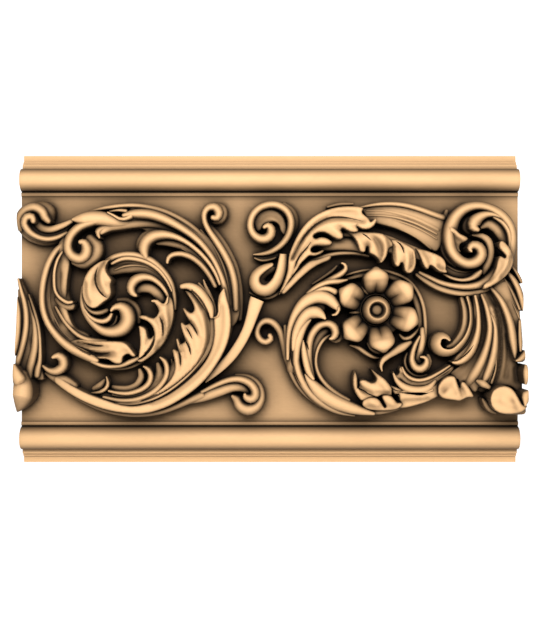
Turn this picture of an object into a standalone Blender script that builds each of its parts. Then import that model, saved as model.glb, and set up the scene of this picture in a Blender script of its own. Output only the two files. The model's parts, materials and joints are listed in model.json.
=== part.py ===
"""Carved scroll frieze panel, made to be fixed to a wall.

One board, carved as one piece: a flat ground between two run mouldings, with acanthus scrolls, volutes and
a six-petalled flower standing from the ground. Both ends are cut square, as on a length of running frieze.

Frame: metres, +Z up, the carved face looks along -Y, the flat back lies in the plane y = 0 and the origin is
the middle of the back.

The carving is laid out as strokes. A stroke is one rounded roll, leaf lobe or rim: its middle line, its half
width and the height of its crown above the ground. Stroke tables are in drawing millimetres, as one sees the
panel from one metre in front of the middle of its ground, so each point is drawn in towards the middle by its
height before it is placed.
"""
import math

import bmesh
import bpy

MM = 0.001
EYE_DISTANCE = 1000.0
GROUND_DEPTH = 24.0
HALF_LENGTH = 248.0
RUN_OUT = 12.0
ROOT_SINK = 1.5
TOLERANCE = 1.1
WIDTH_WEIGHT = 1.3
CROWN_WEIGHT = 0.5

# Moulding profile of the upper edge, outside to inside: distance from the middle line, height above ground.
EDGE_OUT = 154.4
STEPS = [(154.4, -9.0), (148.2, -9.0), (148.2, -6.0), (145.3, -6.0), (145.3, -3.0), (140.4, -3.0)]
BEAD_MIDDLE = 128.6
BEAD_RADIUS = 11.4
BEAD_LIFT = 0.6
BEAD_FACETS = 9
INNER_FILLET = [(116.0, 0.0), (116.0, 2.0), (112.3, 2.0), (112.3, 0.0)]

# The flower: a bored boss and six petals round it.
FLOWER_X = 108.0
FLOWER_Z = -1.0
PETAL_ANGLES = (92, 36, -17, -81, -139, 152)
PETAL_CROWNS = (24, 31, 34, 33, 28)
PETAL_STATIONS = [(13, 3.5), (20, 7.5), (29, 11.5), (36, 11), (41, 6)]
BOSS_RINGS = [(14.5, -1.0), (14.0, 29.0), (10.5, 36.0), (7.8, 33.0), (5.0, 30.0)]
COLLAR_RINGS = [(19.0, -1.0), (18.0, 15.0)]

# Strokes: name, crown heights spread along it, then (x, z, half width) along its middle line.
CORNER_SCROLL = [
    ("corner crook", (20, 24, 27, 28), [(-249, 80, 3), (-249.5, 90, 4.5), (-243.5, 99, 6),
        (-233.5, 101.5, 7), (-226, 97, 8), (-222.5, 92, 6.5)]),
    ("corner eye", (22, 25, 29, 32), [(-203, 77, 1.5), (-213, 72, 2.2), (-223, 70.5, 2.7),
        (-234, 73, 3.2), (-242, 79, 4), (-244.5, 86, 4.6), (-242, 90.5, 4.6), (-238.5, 90, 4.2),
        (-237.5, 87.5, 3.2)]),
    ("corner channel", (18, 16, 16), [(-200, 84, 3), (-210, 77.5, 4), (-222, 75, 4.5), (-234, 78, 4.5),
        (-241, 84, 4)]),
]

SHEATH_AND_ARC = [
    ("sheath", (26, 30, 30, 28), [(-197, 89.5, 1.2), (-190, 89.5, 4.5), (-179, 90.5, 7), (-167, 90, 7),
        (-158, 89.8, 4.5), (-150, 88.5, 1.2)]),
    ("sheath curl", (29, 29, 30, 32, 34), [(-176, 87.5, 4), (-189, 83, 4.5), (-198.5, 74, 4.5),
        (-202, 63, 4.6), (-198.5, 54, 5), (-190.5, 50.5, 5.5), (-184.5, 54, 6), (-183, 61, 5.5),
        (-186, 66.5, 4), (-189.5, 67, 2.5)]),
    ("sheath ball", (22, 25, 25, 22), [(-194, 48, 3), (-185, 48.5, 6), (-177.5, 55, 8),
        (-177.5, 63.5, 7.5), (-183, 69, 4)]),
    ("soffit", (17, 17, 16, 14), [(-171, 74, 1.5), (-163, 78, 4.5), (-148, 83, 5), (-130, 85.5, 5.5),
        (-113, 83.5, 5), (-98, 78, 4), (-85, 70, 3.5), (-74, 61, 3)]),
    ("arc rim", (22, 23, 22, 20, 16), [(-180, 97.5, 1.2), (-165, 101, 2), (-150, 103, 2.3),
        (-135, 103.4, 2.5), (-120, 101.3, 2.8), (-105, 97, 3), (-92, 91, 3), (-80, 83.5, 3),
        (-70, 75, 2.8), (-61, 65, 2.4), (-54, 54, 2)]),
    ("arc band", (27, 29, 28, 27, 26), [(-146, 93.5, 2.5), (-139, 95, 4), (-129, 95.5, 5), (-117, 94, 5),
        (-105, 89.8, 4.8), (-93, 83.6, 4.3), (-82, 76.5, 4), (-72, 68.5, 3.7), (-63.5, 59, 3.4),
        (-56.5, 49, 3.2), (-51, 38, 3), (-46.5, 26, 3), (-43.5, 12, 2.8), (-42, -2, 2)]),
    ("hook leaf", (28, 32, 31, 29, 26), [(-124, 52, 3), (-126, 59, 5.6), (-124, 67, 6), (-117, 72.7, 5.6),
        (-107, 74.5, 4.6), (-96, 72.8, 3.3), (-86, 68.5, 2.6), (-77, 62.5, 2.4), (-68, 54.5, 2.3),
        (-60, 45, 2.2), (-54, 35, 2), (-50, 25, 1.6)]),
    ("hook inner", (18, 21, 22, 20), [(-113, 65.5, 1.2), (-103, 66.5, 3.4), (-93, 64.7, 3.8),
        (-83, 60.3, 3.6), (-74, 54, 3.3), (-66, 46, 3), (-59.5, 36, 2.6), (-54.5, 27, 2)]),
    ("fern stem", (22, 24, 24, 25, 28), [(-34, 0, 3), (-34.5, 14, 3.5), (-35.5, 27, 3.8), (-39, 41, 3.8),
        (-45, 54, 3.8), (-53, 67, 3.6), (-60.5, 78, 3), (-65, 87.5, 2.8), (-65.3, 96, 3.2),
        (-61, 101.5, 3.8), (-54.5, 101.7, 4.6), (-51, 96.5, 5), (-53, 91.5, 4), (-57, 91.5, 2.6)]),
    ("fern back", (12, 14, 14, 10), [(-30, -10, 2.5), (-30, 10, 3.5), (-32, 27, 4), (-35.5, 42, 4),
        (-41, 55, 3.8), (-48, 67, 3.6), (-55, 76.5, 3.2), (-61, 84, 2)]),
    ("fern ball", (16, 19, 19, 15), [(-54, 104, 2.5), (-48, 101, 4), (-46.5, 94.5, 4.5), (-50, 89, 4),
        (-56, 87, 2)]),
]

LEFT_RING = [
    ("ring outer", (20, 26, 28, 28, 29, 28), [(-206, 66, 2.5), (-214.5, 57, 4.3), (-221.5, 45, 4.3),
        (-226, 30, 4), (-227.8, 15, 3.8), (-227, 1, 3.8), (-223, -12, 4), (-216.5, -22.5, 4.5),
        (-208, -32, 5), (-198, -39.5, 5.4), (-187, -45, 5.6), (-176, -49, 5.6), (-165, -53.5, 3.6),
        (-153, -56.5, 2.6), (-141, -55.5, 2.8), (-131, -51, 3)]),
    ("ring lobe", (22, 24, 25, 26), [(-206.5, 61, 2.5), (-208.5, 48, 6.5), (-210, 32, 6.8),
        (-209, 18, 6.6), (-204, 9, 5.6), (-198.5, 4, 4)]),
    ("ring lobe curl", (24, 26, 28), [(-214, 22, 1.6), (-212, 13, 2.4), (-207, 7, 3), (-201.5, 3, 4),
        (-197.5, 2.5, 3.6)]),
    ("ring lobe chin", (16, 18, 16), [(-210, 4, 2), (-204.5, -1.5, 4), (-198, -3, 4)]),
    ("cup", (24, 27, 28, 28), [(-184, -37, 2.5), (-172, -39.5, 6), (-160, -42, 9), (-149, -42.5, 8.5),
        (-141, -42.5, 5), (-134, -46.5, 1.2)]),
]

CORE = [
    ("core band", (24, 27, 27, 26, 25), [(-148, -56, 2), (-135, -52, 3.5), (-123.5, -44.5, 5),
        (-112.5, -33, 6.4), (-105.5, -18, 7.4), (-103.5, -5, 8.4), (-105.5, 4.5, 8.6), (-107, 8, 7)]),
    ("core lobe two", (28, 30, 30, 28), [(-131, -8.5, 0.9), (-123, -9, 2), (-116, -13.5, 3.6),
        (-112.5, -23, 4.2), (-114, -33.5, 4), (-121, -43, 3.2), (-129, -49.5, 2)]),
    ("core lobe three", (28, 30, 30), [(-131, -48, 1.5), (-129, -41, 4), (-126, -32, 4.8),
        (-127, -25, 3.4), (-129.5, -18, 0.9)]),
    ("core outer roll", (20, 24, 27, 27, 26), [(-96, 0, 1.5), (-96.5, 12, 2.4), (-100, 24, 3),
        (-107, 35, 3.5), (-117, 44.8, 4), (-128.5, 51, 4), (-140.5, 53.7, 3.8), (-151.5, 52, 3.6),
        (-160, 47.5, 2.6)]),
    ("core soffit", (18, 20, 20, 18), [(-99, 3, 3), (-101, 15, 4), (-106, 26, 5), (-114, 35, 6),
        (-124, 40, 6.4), (-135, 42, 6.4), (-147, 41.5, 6), (-157, 38.5, 5), (-162, 35, 3)]),
    ("hook roll", (26, 28, 30, 31, 31), [(-101.5, 12, 1.3), (-105, 19, 2), (-111, 26, 2.5),
        (-119, 31, 3.2), (-128, 31.8, 4.2), (-135.5, 28.3, 5), (-139, 21.5, 4.6), (-137.3, 16, 3.4),
        (-134, 13.5, 1.8)]),
    ("hook bowl", (19, 21, 21, 20), [(-134, 16.5, 2), (-127.5, 21, 4.6), (-118.5, 20.5, 5.2),
        (-111.5, 15, 5.2), (-108, 8.5, 4.5)]),
    ("head left", (28, 32, 33, 32, 30), [(-163, 46, 2), (-171, 40, 5), (-178, 31, 7), (-181, 20, 7),
        (-180, 11, 6.6), (-176, 4.5, 6), (-170.5, 1.5, 3.5)]),
    ("head middle", (31, 34, 35, 33), [(-165, 42, 3), (-170.5, 33, 5), (-172, 22, 5.4), (-169.5, 12, 5.4),
        (-165.5, 6, 3.5)]),
    ("head right", (33, 36, 36, 34), [(-163, 44.5, 1.2), (-166.3, 38, 3), (-164.5, 31, 4.6),
        (-161.5, 24.5, 4.4), (-163.5, 16.5, 4), (-167, 10, 3)]),
    ("volute", (24, 26, 27, 29, 32, 34), [(-187.5, 22, 1), (-188, 10, 2), (-186, 0, 2.7), (-181, -9, 3.4),
        (-174, -16.5, 4.2), (-165.5, -22, 5.2), (-155.5, -23, 6.4), (-146.5, -19, 7.6), (-142, -10.5, 8),
        (-144, -2, 7), (-150, 2.5, 4.6), (-156, 1.2, 2.6), (-158.5, -1.5, 1.4)]),
]

BIG_LEAF = [
    ("leaf rim roll", (10, 14, 16, 18, 19, 20), [(-194, -89, 1), (-180, -95.5, 1.8), (-165, -101, 2.2),
        (-148, -104.5, 2.5), (-130, -105.3, 2.7), (-111, -102.8, 3), (-96, -98, 3.2), (-82, -92, 3.6),
        (-68, -86, 4)]),
    ("leaf stem", (18, 22, 25, 27, 28, 29, 30, 31), [(-213, -69, 3), (-201, -79, 4), (-186, -88, 4.2),
        (-168, -95, 4), (-150, -99.6, 3.8), (-130, -101, 3.8), (-112, -98, 4), (-97, -92, 4.3),
        (-83, -84, 4.8), (-72, -75.5, 5.2), (-62, -65, 5.6), (-54, -53, 6), (-48.5, -39, 6.6),
        (-46, -23, 7.2), (-45, -8, 7.2), (-46, 5, 5.8), (-47, 14.5, 3.4), (-45.8, 20.5, 0.9)]),
    ("strut", (20, 25, 27, 27), [(-64, -73, 0.9), (-58, -66.5, 3), (-50, -59, 4.3), (-40, -49, 4.8),
        (-32.5, -39, 5), (-26.5, -29, 5), (-21.5, -18, 5.1), (-17.5, -6, 5.9), (-14, 6, 7.2),
        (-12.5, 10, 7.4)]),
    ("lobe one", (32, 34, 34, 32, 28), [(-89.5, 21.5, 1.4), (-85.5, 23.5, 3.6), (-79.5, 23.3, 4.2),
        (-73, 19, 4.4), (-67.3, 11.5, 4.6), (-63.3, 2.5, 4.5), (-61.3, -8, 4), (-61, -20, 3),
        (-63, -32, 2)]),
    ("leaf body", (26, 29, 30, 29, 27, 24), [(-82.5, 17.5, 1.5), (-77.5, 10, 4), (-72, 0, 6.4),
        (-67.5, -12, 7), (-65.5, -26, 6.6), (-68, -40, 6), (-74, -52, 5.2), (-83, -63.5, 4.6),
        (-95, -74.5, 4), (-109, -84, 3)]),
    ("lobe two", (27, 29, 29, 28, 25), [(-86, 0.5, 0.8), (-82.3, -4, 2.3), (-78, -10.5, 3.4),
        (-74.5, -19, 3.8), (-72.5, -30, 3.8), (-73, -42, 3.6), (-77.5, -54, 3.4), (-86, -65.5, 3)]),
    ("lobe three", (25, 28, 28, 27, 24), [(-88.3, -15, 1), (-87.3, -20.5, 2.4), (-84, -28.5, 3.5),
        (-80.5, -38, 3.8), (-79, -48, 3.8), (-81, -58, 3.6), (-88, -69, 3.4), (-99, -79, 2.6)]),
    ("foot lip", (20, 24, 26, 29, 31), [(-68, -83, 1.8), (-53, -75.6, 2.6), (-40.5, -71, 3),
        (-30, -70.3, 3.5), (-20.5, -74, 4.1), (-15, -81, 4.6), (-15.3, -87.5, 5), (-19.5, -90, 4.6),
        (-24, -88, 3.2), (-25, -85.6, 1.6)]),
    ("foot ring", (14, 18, 22, 25, 25, 20), [(-34, -66, 1.2), (-23, -67.3, 2.2), (-14, -72.5, 2.8),
        (-9, -80.5, 3.2), (-8.8, -90, 4), (-13.7, -97.5, 5.4), (-22, -100.3, 6.2), (-29.5, -97, 5.4),
        (-33.5, -90.5, 4), (-37, -87.5, 2)]),
    ("foot band", (16, 19, 20, 18), [(-84, -93, 2.5), (-68, -88, 5), (-52, -82.5, 5.5), (-39, -78.5, 5),
        (-29, -78.5, 4.2), (-22.5, -82.5, 2.5)]),
]

LEFT_FALL = [
    ("fall one", (17, 21, 24, 28, 30), [(-254, 14, 1.5), (-252, 0, 3.4), (-252, -15, 4),
        (-253.5, -29, 4.2), (-256.5, -42, 4), (-260, -52, 3)]),
    ("fall three", (14, 18, 21, 23, 22), [(-241.5, 8, 1), (-239, -3, 1.8), (-236, -13, 2.8),
        (-234.5, -26, 3.7), (-235, -39, 4.2), (-237.5, -51, 4.6), (-240, -61, 4.4), (-240, -68, 2.6)]),
    ("fall heel", (34, 37, 38, 30), [(-256, -57, 2.5), (-254, -64, 5.5), (-250, -72, 7), (-245, -78, 4)]),
    ("fall pod", (30, 36, 38, 30, 18), [(-248, -66, 6), (-248, -76, 11), (-249, -87, 12), (-251, -96, 7),
        (-254, -103, 1.2)]),
    ("fall fern", (20, 24, 26, 28), [(-227, -57, 1.3), (-221, -61.3, 2.7), (-213.5, -62, 4.4),
        (-207, -57.5, 5.2), (-207, -50.5, 5.2), (-212, -46.7, 3.8), (-217, -48.3, 1.8)]),
    ("fall calyx", (14, 17, 18), [(-224, -64, 1.5), (-216, -68, 4), (-206, -72, 6), (-196, -78, 5)]),
]

KNOT = [
    ("spiral", (14, 22, 25, 26, 26, 27, 28, 30, 31), [(-16, 54.5, 0.8), (-7, 55.2, 1.9), (2, 57.8, 2.7),
        (11, 63.7, 3.2), (17.8, 72, 3.5), (21.2, 81.5, 3.7), (20.8, 91, 3.7), (16, 99.2, 3.7),
        (7.5, 104, 3.7), (-2, 104.3, 3.7), (-11.2, 100.5, 3.7), (-17.5, 93, 3.7), (-19.5, 83.5, 3.7),
        (-16.7, 75.5, 3.9), (-10.5, 70.8, 4.3), (-3.5, 70.7, 4.8), (1, 75, 5), (1, 80.6, 4.4),
        (-2, 83.5, 3.3), (-5.5, 82, 2)]),
    ("spiral back", (12, 14, 14, 11), [(2, 60, 1.5), (14, 66.5, 3.2), (22, 77, 4), (25.3, 88, 4),
        (22, 98, 3.4), (14, 105, 2)]),
    ("tail bed", (10, 10, 10), [(-15, 51.5, 1.2), (-8, 50, 4), (0, 51, 4), (7, 54, 3)]),
    ("knot", (29, 30, 30, 28, 24), [(13.7, 55, 3.8), (13, 46, 5), (10.8, 36, 5.3), (6, 26, 5.6),
        (-2, 19, 5.9), (-10.5, 19.5, 6), (-15.3, 26, 5.6), (-14, 34, 4.8), (-7.5, 40, 4), (2, 44.5, 2)]),
]

CANOPY = [
    ("stalk", (24, 28, 29, 28), [(9, 15, 1.5), (16, 23, 4), (22.5, 33.5, 6.2), (27.5, 45, 7.6),
        (33, 56, 8)]),
    ("canopy crest", (26, 30, 33, 34, 33), [(19, 38, 2), (21.3, 49, 3.2), (26.5, 60, 3.9),
        (33.5, 71, 4.3), (42, 81, 4.6), (52, 89.5, 4.9), (63.5, 95.5, 5.2), (75, 97.8, 5.2),
        (86, 97, 4.6), (93.5, 97.5, 2.2)]),
    ("canopy body", (26, 30, 34, 35, 35), [(23, 33, 3), (28, 46, 4.6), (35, 59, 5.2), (44, 71, 5.8),
        (54.5, 79.5, 6.6), (66.5, 84.2, 7.2), (78.5, 86, 6.6), (89, 87, 6.2), (96, 87.5, 4.4)]),
    ("canopy lobe a", (34, 36, 36), [(54, 80, 4), (63, 77.5, 4.8), (68.5, 74.3, 3.6), (71.7, 71, 1.4)]),
    ("canopy lobe b", (34, 36, 35), [(70, 85, 4), (78.5, 81.8, 3.4), (84.5, 79.5, 2.2), (88, 78.2, 0.9)]),
    ("canopy lobe c", (34, 37, 38), [(84, 87, 4), (93, 84.3, 3.6), (99.5, 83, 2.9), (103.6, 85.8, 2.1),
        (105.3, 90.3, 0.9)]),
    ("canopy shoulder", (32, 34, 33), [(80, 94, 4), (88, 94, 5.6), (94, 92, 4), (98.5, 88, 2)]),
    ("canopy tongue", (28, 32, 34, 34), [(32, 47, 2.5), (37, 57, 3), (41.5, 64, 3.2), (47.5, 67.7, 3.7),
        (54.3, 67.6, 3.6), (60, 66.3, 2.2), (62, 66.7, 0.9)]),
    ("canopy inside", (18, 21, 22, 20), [(48, 60, 2.5), (57, 62.5, 4.4), (67, 64.5, 6), (77, 64.5, 6.5),
        (85.5, 62, 5), (91, 58, 2)]),
    ("fringe spine", (24, 26, 26, 24), [(74, 75, 2), (92, 76, 3.4), (112, 70, 5), (132, 62, 5),
        (152, 54, 4), (168, 47.5, 3)]),
    ("fringe a left", (30, 32, 31), [(79, 76.7, 1.2), (86, 73, 4), (90.8, 66, 5.4), (93.5, 59.5, 3.8),
        (93.5, 56, 1.4)]),
    ("fringe a middle", (31, 33, 33), [(89, 77, 1.4), (98.5, 73, 4.2), (105, 66, 6.2), (106.5, 57.5, 5.6),
        (105, 52, 3)]),
    ("fringe a right", (32, 35, 36, 35), [(97, 77.2, 1), (107.5, 75, 2.6), (115.5, 70, 3.9),
        (119.3, 63, 4.1), (117.6, 55.5, 3.4), (113.5, 50.5, 2.4), (109.8, 46.8, 1)]),
    ("fringe b left", (29, 32, 31), [(121, 68.3, 1.2), (125.8, 62, 3.4), (127.8, 53, 3.8),
        (128.2, 45.8, 2.8), (128, 42.6, 1.2)]),
    ("fringe b middle", (30, 33, 32), [(125, 67.5, 1.4), (131.5, 62, 3.8), (135.5, 54, 4.7),
        (137, 45.5, 4.3), (137.5, 39.5, 2.6)]),
    ("fringe c left", (27, 30, 29), [(147, 60.3, 1), (151, 55, 2.9), (155, 48.5, 3.8), (157.7, 43, 2.8),
        (157.5, 40.3, 1.2)]),
    ("fringe c right", (26, 28, 26), [(150, 59.7, 1), (158, 56, 3), (165, 51, 4.6), (170, 45, 4.8),
        (173.5, 40, 2.8)]),
    ("ribbon rim", (20, 22, 22, 21, 20), [(88, 102, 0.8), (102, 103.8, 2), (116, 105, 2.4),
        (130, 104.3, 2.8), (144, 101.2, 3), (157, 96.6, 3.2), (167, 92, 3.3), (173, 89, 2.6)]),
    ("ribbon field", (15, 15, 14, 14), [(94, 92, 6), (112, 93, 9), (132, 88, 11), (150, 80, 12),
        (163, 74, 12), (172, 70, 10)]),
]

BIG_VOLUTE = [
    ("orb spiral", (20, 24, 27, 29, 28, 28, 30, 33, 35, 37, 38), [(150, 36.5, 1.6), (160, 31.5, 2.2),
        (171, 26.5, 2.5), (184, 23.3, 2.8), (198, 22.5, 3.3), (211, 25, 4.2), (222, 31, 5.8),
        (231.5, 40, 7), (238, 51, 6.4), (242.3, 63, 4.6), (243, 75, 4), (239.5, 85.5, 4.4),
        (231.5, 94.5, 4.8), (220, 100.8, 4.6), (207, 103.3, 4.6), (195, 100.4, 5.4), (186, 92.5, 6.2),
        (181, 81.5, 7), (179.5, 70, 6), (182, 58.5, 5.2), (189, 50, 5), (198.5, 46.2, 5.4),
        (207.5, 48.7, 6.2), (211.5, 56, 6.3), (208.5, 63, 5.4), (202.5, 64, 3.6)]),
    ("orb leaf", (26, 30, 33, 33), [(233, 91, 1.2), (223, 94.8, 2.4), (213, 93.7, 4.4), (205.3, 88, 6.6),
        (204, 82, 5.6), (208, 79.3, 2.4)]),
    ("orb leaf shade", (16, 17, 15), [(205, 93, 2), (198.5, 88, 4), (197, 81, 4.5), (200, 77, 3)]),
    ("orb bowl", (20, 22, 22, 20), [(211.5, 81.5, 1.6), (218.5, 85, 4.8), (226, 81.5, 5.4),
        (231.5, 74.5, 5.4), (235, 67, 4.4)]),
    ("orb claw", (33, 36, 36, 34), [(229.6, 66.3, 1), (232.5, 62.3, 2.6), (237, 57, 3.4), (239, 50, 3.6),
        (237.5, 42, 4)]),
    ("orb claw root", (30, 33, 32), [(228, 54.5, 1.2), (231, 50.5, 3.8), (231.5, 42.5, 5.4),
        (227, 35, 4.5)]),
    ("orb second ring", (22, 26, 26, 24, 20), [(202, 75.3, 0.9), (211.5, 73.5, 2.6), (218, 68.7, 4),
        (220.3, 60, 4.2), (219.3, 50, 4), (215.5, 41.5, 3.4), (214, 36, 2)]),
    ("orb thorn web", (26, 28, 26), [(183.5, 73, 2), (186, 66.5, 3.8), (190.5, 60.5, 2.6)]),
    ("orb cradle bed", (12, 13, 12), [(172, 44, 3), (182, 37.5, 5), (194, 35.5, 6), (206, 38, 5)]),
]

RIGHT_FALL = [
    ("drape bed", (12, 14, 15, 16, 16), [(212, 20, 10), (220, 0, 16), (224, -22, 18), (222, -45, 18),
        (218, -66, 14), (212, -76, 8)]),
    ("drape a", (16, 19, 20, 20), [(192, 11.5, 2), (195.3, 0, 3), (195.7, -11, 3.2), (194, -21, 3.5),
        (189.5, -30, 3.8), (183.5, -36, 3.2), (178, -38, 1.8)]),
    ("drape b", (22, 26, 27, 28, 30), [(198, 12, 1.4), (201.3, 1, 1.8), (202, -12, 2), (199.7, -22, 2.1),
        (195.7, -30, 2.3), (189.5, -37, 2.6), (182.5, -41, 3.2), (174.5, -41, 4.6), (168.3, -36.5, 5.8),
        (168, -30.5, 5.2), (172, -27.5, 3.4), (176.3, -29, 1.8)]),
    ("drape d", (25, 28, 29, 30, 29), [(205.5, 13, 1.4), (207.7, 2, 2), (208.7, -9, 2.3),
        (208.3, -21, 2.9), (205.3, -33, 3.9), (200.3, -43.5, 4.4), (193.5, -50.8, 3.8), (187, -53.7, 2.2),
        (183, -53.3, 1)]),
    ("drape f", (21, 25, 26, 26, 25, 22), [(212, 14, 1.6), (216, 4, 2.3), (219, -8, 2.9),
        (220.3, -20, 3.3), (218.5, -34, 4.2), (214, -48, 5.2), (208, -60, 6), (201.5, -70, 6),
        (196, -77, 3.6)]),
    ("drape g", (23, 26, 28, 27, 26), [(221.3, -6, 1.2), (225, -16, 2.1), (225.7, -28, 3),
        (224.5, -42, 3.9), (221.5, -55, 4.5), (217.5, -66, 4.5), (214.5, -72, 2.6)]),
    ("drape k", (22, 26, 27, 27, 26), [(221.5, 21, 1.5), (227.5, 14, 2.6), (232.7, 6, 3.1),
        (237.5, -5, 3.6), (241, -17, 4.1), (243, -30, 4.3), (244.8, -42, 3), (245.5, -49, 0.9)]),
    ("drape bead", (38, 41, 41, 38), [(256, -57, 1.6), (257, -62, 4), (257.3, -69, 3.8),
        (256, -74.3, 1.6)]),
    ("shell right", (40, 41, 41, 38, 34), [(222.5, -80.5, 3.5), (228, -85, 9), (235, -90, 13),
        (243, -95, 12.5), (250, -99, 8.5), (256, -101, 3)]),
    ("shell right ear", (42, 44, 42), [(262, -82.5, 1.5), (257, -86, 5), (256, -92, 3.2),
        (255.5, -96.5, 0.9)]),
    ("shell right hinge", (24, 28, 28), [(207.5, -72, 1.8), (213, -74.5, 3.8), (219.5, -78.5, 2)]),
    ("shell left", (28, 32, 32, 28), [(181, -67, 2), (178.5, -73, 7.4), (179.7, -81, 9.6),
        (184, -87.5, 5.6)]),
    ("shell left rib", (31, 33, 33, 30), [(183, -67, 1), (187, -76, 3.6), (190, -84.5, 4.2),
        (191, -90, 1.6)]),
    ("shell left wing", (29, 32, 31), [(193.3, -73, 1.3), (196.3, -79, 4.2), (199, -84.7, 3.6),
        (203, -87.7, 0.9)]),
]

CRADLE = [
    ("bowl a", (24, 27, 28, 27, 24), [(123.7, -64.5, 0.9), (127, -71.5, 2.4), (133.3, -77.3, 3.6),
        (142, -80.7, 4.1), (152, -81, 4.1), (160, -78, 3.4), (165.5, -72, 1.8)]),
    ("bowl b bed", (18, 20, 20, 18), [(129, -62, 1.5), (133.5, -69, 3.6), (141, -74, 4.4),
        (150, -75.6, 4.6), (161, -72.5, 4.2), (172, -65.5, 3), (181, -58.5, 1.5)]),
    ("crook", (24, 28, 29, 30, 30), [(149, -27, 1.2), (145.7, -36, 2.2), (143.3, -45, 2.9),
        (143.3, -53, 3.5), (146.7, -58.7, 4), (152, -59, 4.2), (156, -55.5, 3.7), (156, -50.7, 2.9),
        (153, -47.8, 1.9), (150.3, -47.5, 0.9)]),
    ("sling", (20, 23, 24, 22), [(168, -84.5, 1), (157.5, -87.5, 3), (145.5, -91, 4.6), (133, -94.5, 5),
        (121.5, -97.5, 4.4), (110, -101, 2.6), (100, -104, 1.4)]),
    ("cup lobe a", (28, 31, 31, 27), [(93.5, -94.5, 3), (99.5, -93.5, 5.4), (106.5, -96.3, 4.8),
        (113, -101, 1.6)]),
    ("cup lobe b", (28, 31, 31, 27), [(113.5, -88, 1.6), (117.5, -91.5, 4.6), (121.5, -95.5, 4.8),
        (124.5, -99, 1.8)]),
    ("cup base", (18, 21, 21, 18), [(94, -101, 2), (104, -102.5, 3), (116, -101, 3.4), (128, -97, 4)]),
    ("bud left", (24, 29, 30, 26), [(85.8, -63, 0.9), (86.3, -70, 2.7), (85.7, -77, 3.3),
        (88.3, -82.7, 3.8), (93.5, -86.5, 2.6)]),
    ("bud face", (24, 27, 28, 26), [(90.5, -73.5, 1.8), (98.5, -77, 5.4), (107.5, -80, 6.6),
        (116.5, -84, 3.6)]),
    ("bud tip", (22, 28, 30, 28), [(101.5, -60.7, 0.9), (105, -66, 2.4), (110, -72, 4.2), (115, -78.5, 4),
        (118.5, -84, 2)]),
]

FLOWER_RING = [
    ("hoop inner", (16, 17, 17, 17), [(77, 30, 1.4), (92, 33.6, 2), (108, 34.4, 2.2), (121.5, 31.6, 2.3),
        (133.5, 25.3, 2.6), (142.5, 15.7, 3), (148, 3, 3.3), (150, -10, 3.2), (150.5, -23, 2.2)]),
]

LEFT_C = [
    ("c outer lobe", (24, 29, 32, 33, 33), [(18, -50, 1.5), (18.7, -32, 2.3), (21, -17, 3.3),
        (26.5, -4, 4.6), (35, 6.3, 6.2), (46, 12, 7), (57, 11, 6.8), (65, 4.5, 5), (68.5, -1, 2.6),
        (66.7, -4.3, 1.2)]),
    ("c middle lobe", (28, 32, 33, 32), [(23.5, -40, 3), (25.5, -26, 4), (30.5, -13.5, 4.6),
        (38, -5, 5.2), (46, -3.8, 5.2), (52.3, -6.8, 3.2), (55.7, -9.3, 1.1)]),
    ("c third lobe", (26, 30, 30, 29), [(26.5, -52, 3.4), (27.5, -37, 4), (31, -24, 4),
        (35.5, -15.3, 3.3), (40.7, -10.8, 1.1)]),
    ("c second reed", (26, 27, 27, 26, 24, 20), [(26.3, -44, 4), (26.7, -54, 4.2), (29.5, -65.5, 4.4),
        (36, -78, 4.4), (45.7, -89, 4.1), (57.5, -97.3, 3.5), (70, -103, 2.6), (84.5, -106.3, 1.2)]),
    ("c belly", (26, 29, 29, 28, 24), [(35.5, -65.5, 0.9), (41, -73.3, 4.4), (51, -83.7, 6.8),
        (64, -92.3, 7.2), (78, -98, 6.2), (92, -102, 4.2), (104, -104.5, 1.8)]),
    ("c inner curl", (24, 27, 29, 30, 31, 31), [(43.5, -68, 1.6), (40.3, -57, 2.8), (39, -45, 3.4),
        (39.8, -33, 3.8), (43, -24, 3.9), (49.5, -16.8, 3.8), (57, -14.5, 3.8), (63.5, -17.3, 4.3),
        (66, -23.5, 4.4), (63.5, -28.5, 3), (60.5, -29.8, 1.4)]),
    ("c channel", (18, 20, 20, 18), [(55, -75, 2), (47, -62, 3), (44.7, -48, 3.4), (46.5, -35, 4.6),
        (51.5, -25.5, 5), (57, -21, 3.6)]),
]
STROKES = (CORNER_SCROLL + SHEATH_AND_ARC + LEFT_RING + CORE + BIG_LEAF + LEFT_FALL + KNOT + CANOPY + BIG_VOLUTE
           + RIGHT_FALL + CRADLE + FLOWER_RING + LEFT_C)


def clear_scene():
    """Start from an empty file."""
    for item in list(bpy.data.objects):
        bpy.data.objects.remove(item, do_unlink=True)


def wood(name, colour):
    """One plain Principled material."""
    material = bpy.data.materials.new(name)
    material.use_nodes = True
    shader = material.node_tree.nodes["Principled BSDF"]
    shader.inputs["Base Color"].default_value = (*colour, 1.0)
    shader.inputs["Roughness"].default_value = 0.55
    return material


def spread(values, part):
    """The value at a fraction of the way along an evenly spread list."""
    place = part * (len(values) - 1)
    first = min(int(place), len(values) - 2)
    share = place - first
    return values[first] * (1.0 - share) + values[first + 1] * share


def smooth_line(points, steps=8):
    """A smooth line through the points, as (x, z, half width, fraction)."""
    line = []
    last = len(points) - 1
    for index in range(last):
        before = points[max(index - 1, 0)]
        start = points[index]
        end = points[index + 1]
        after = points[min(index + 2, last)]
        for step in range(steps):
            t = step / steps
            value = []
            for a, b, c, d in zip(before, start, end, after):
                bend = (2.0 * a - 5.0 * b + 4.0 * c - d) * t * t + (3.0 * b - a - 3.0 * c + d) * t ** 3
                value.append(0.5 * (2.0 * b + (c - a) * t + bend))
            line.append((*value, (index + t) / last))
    line.append((*points[-1], 1.0))
    return line


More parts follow.
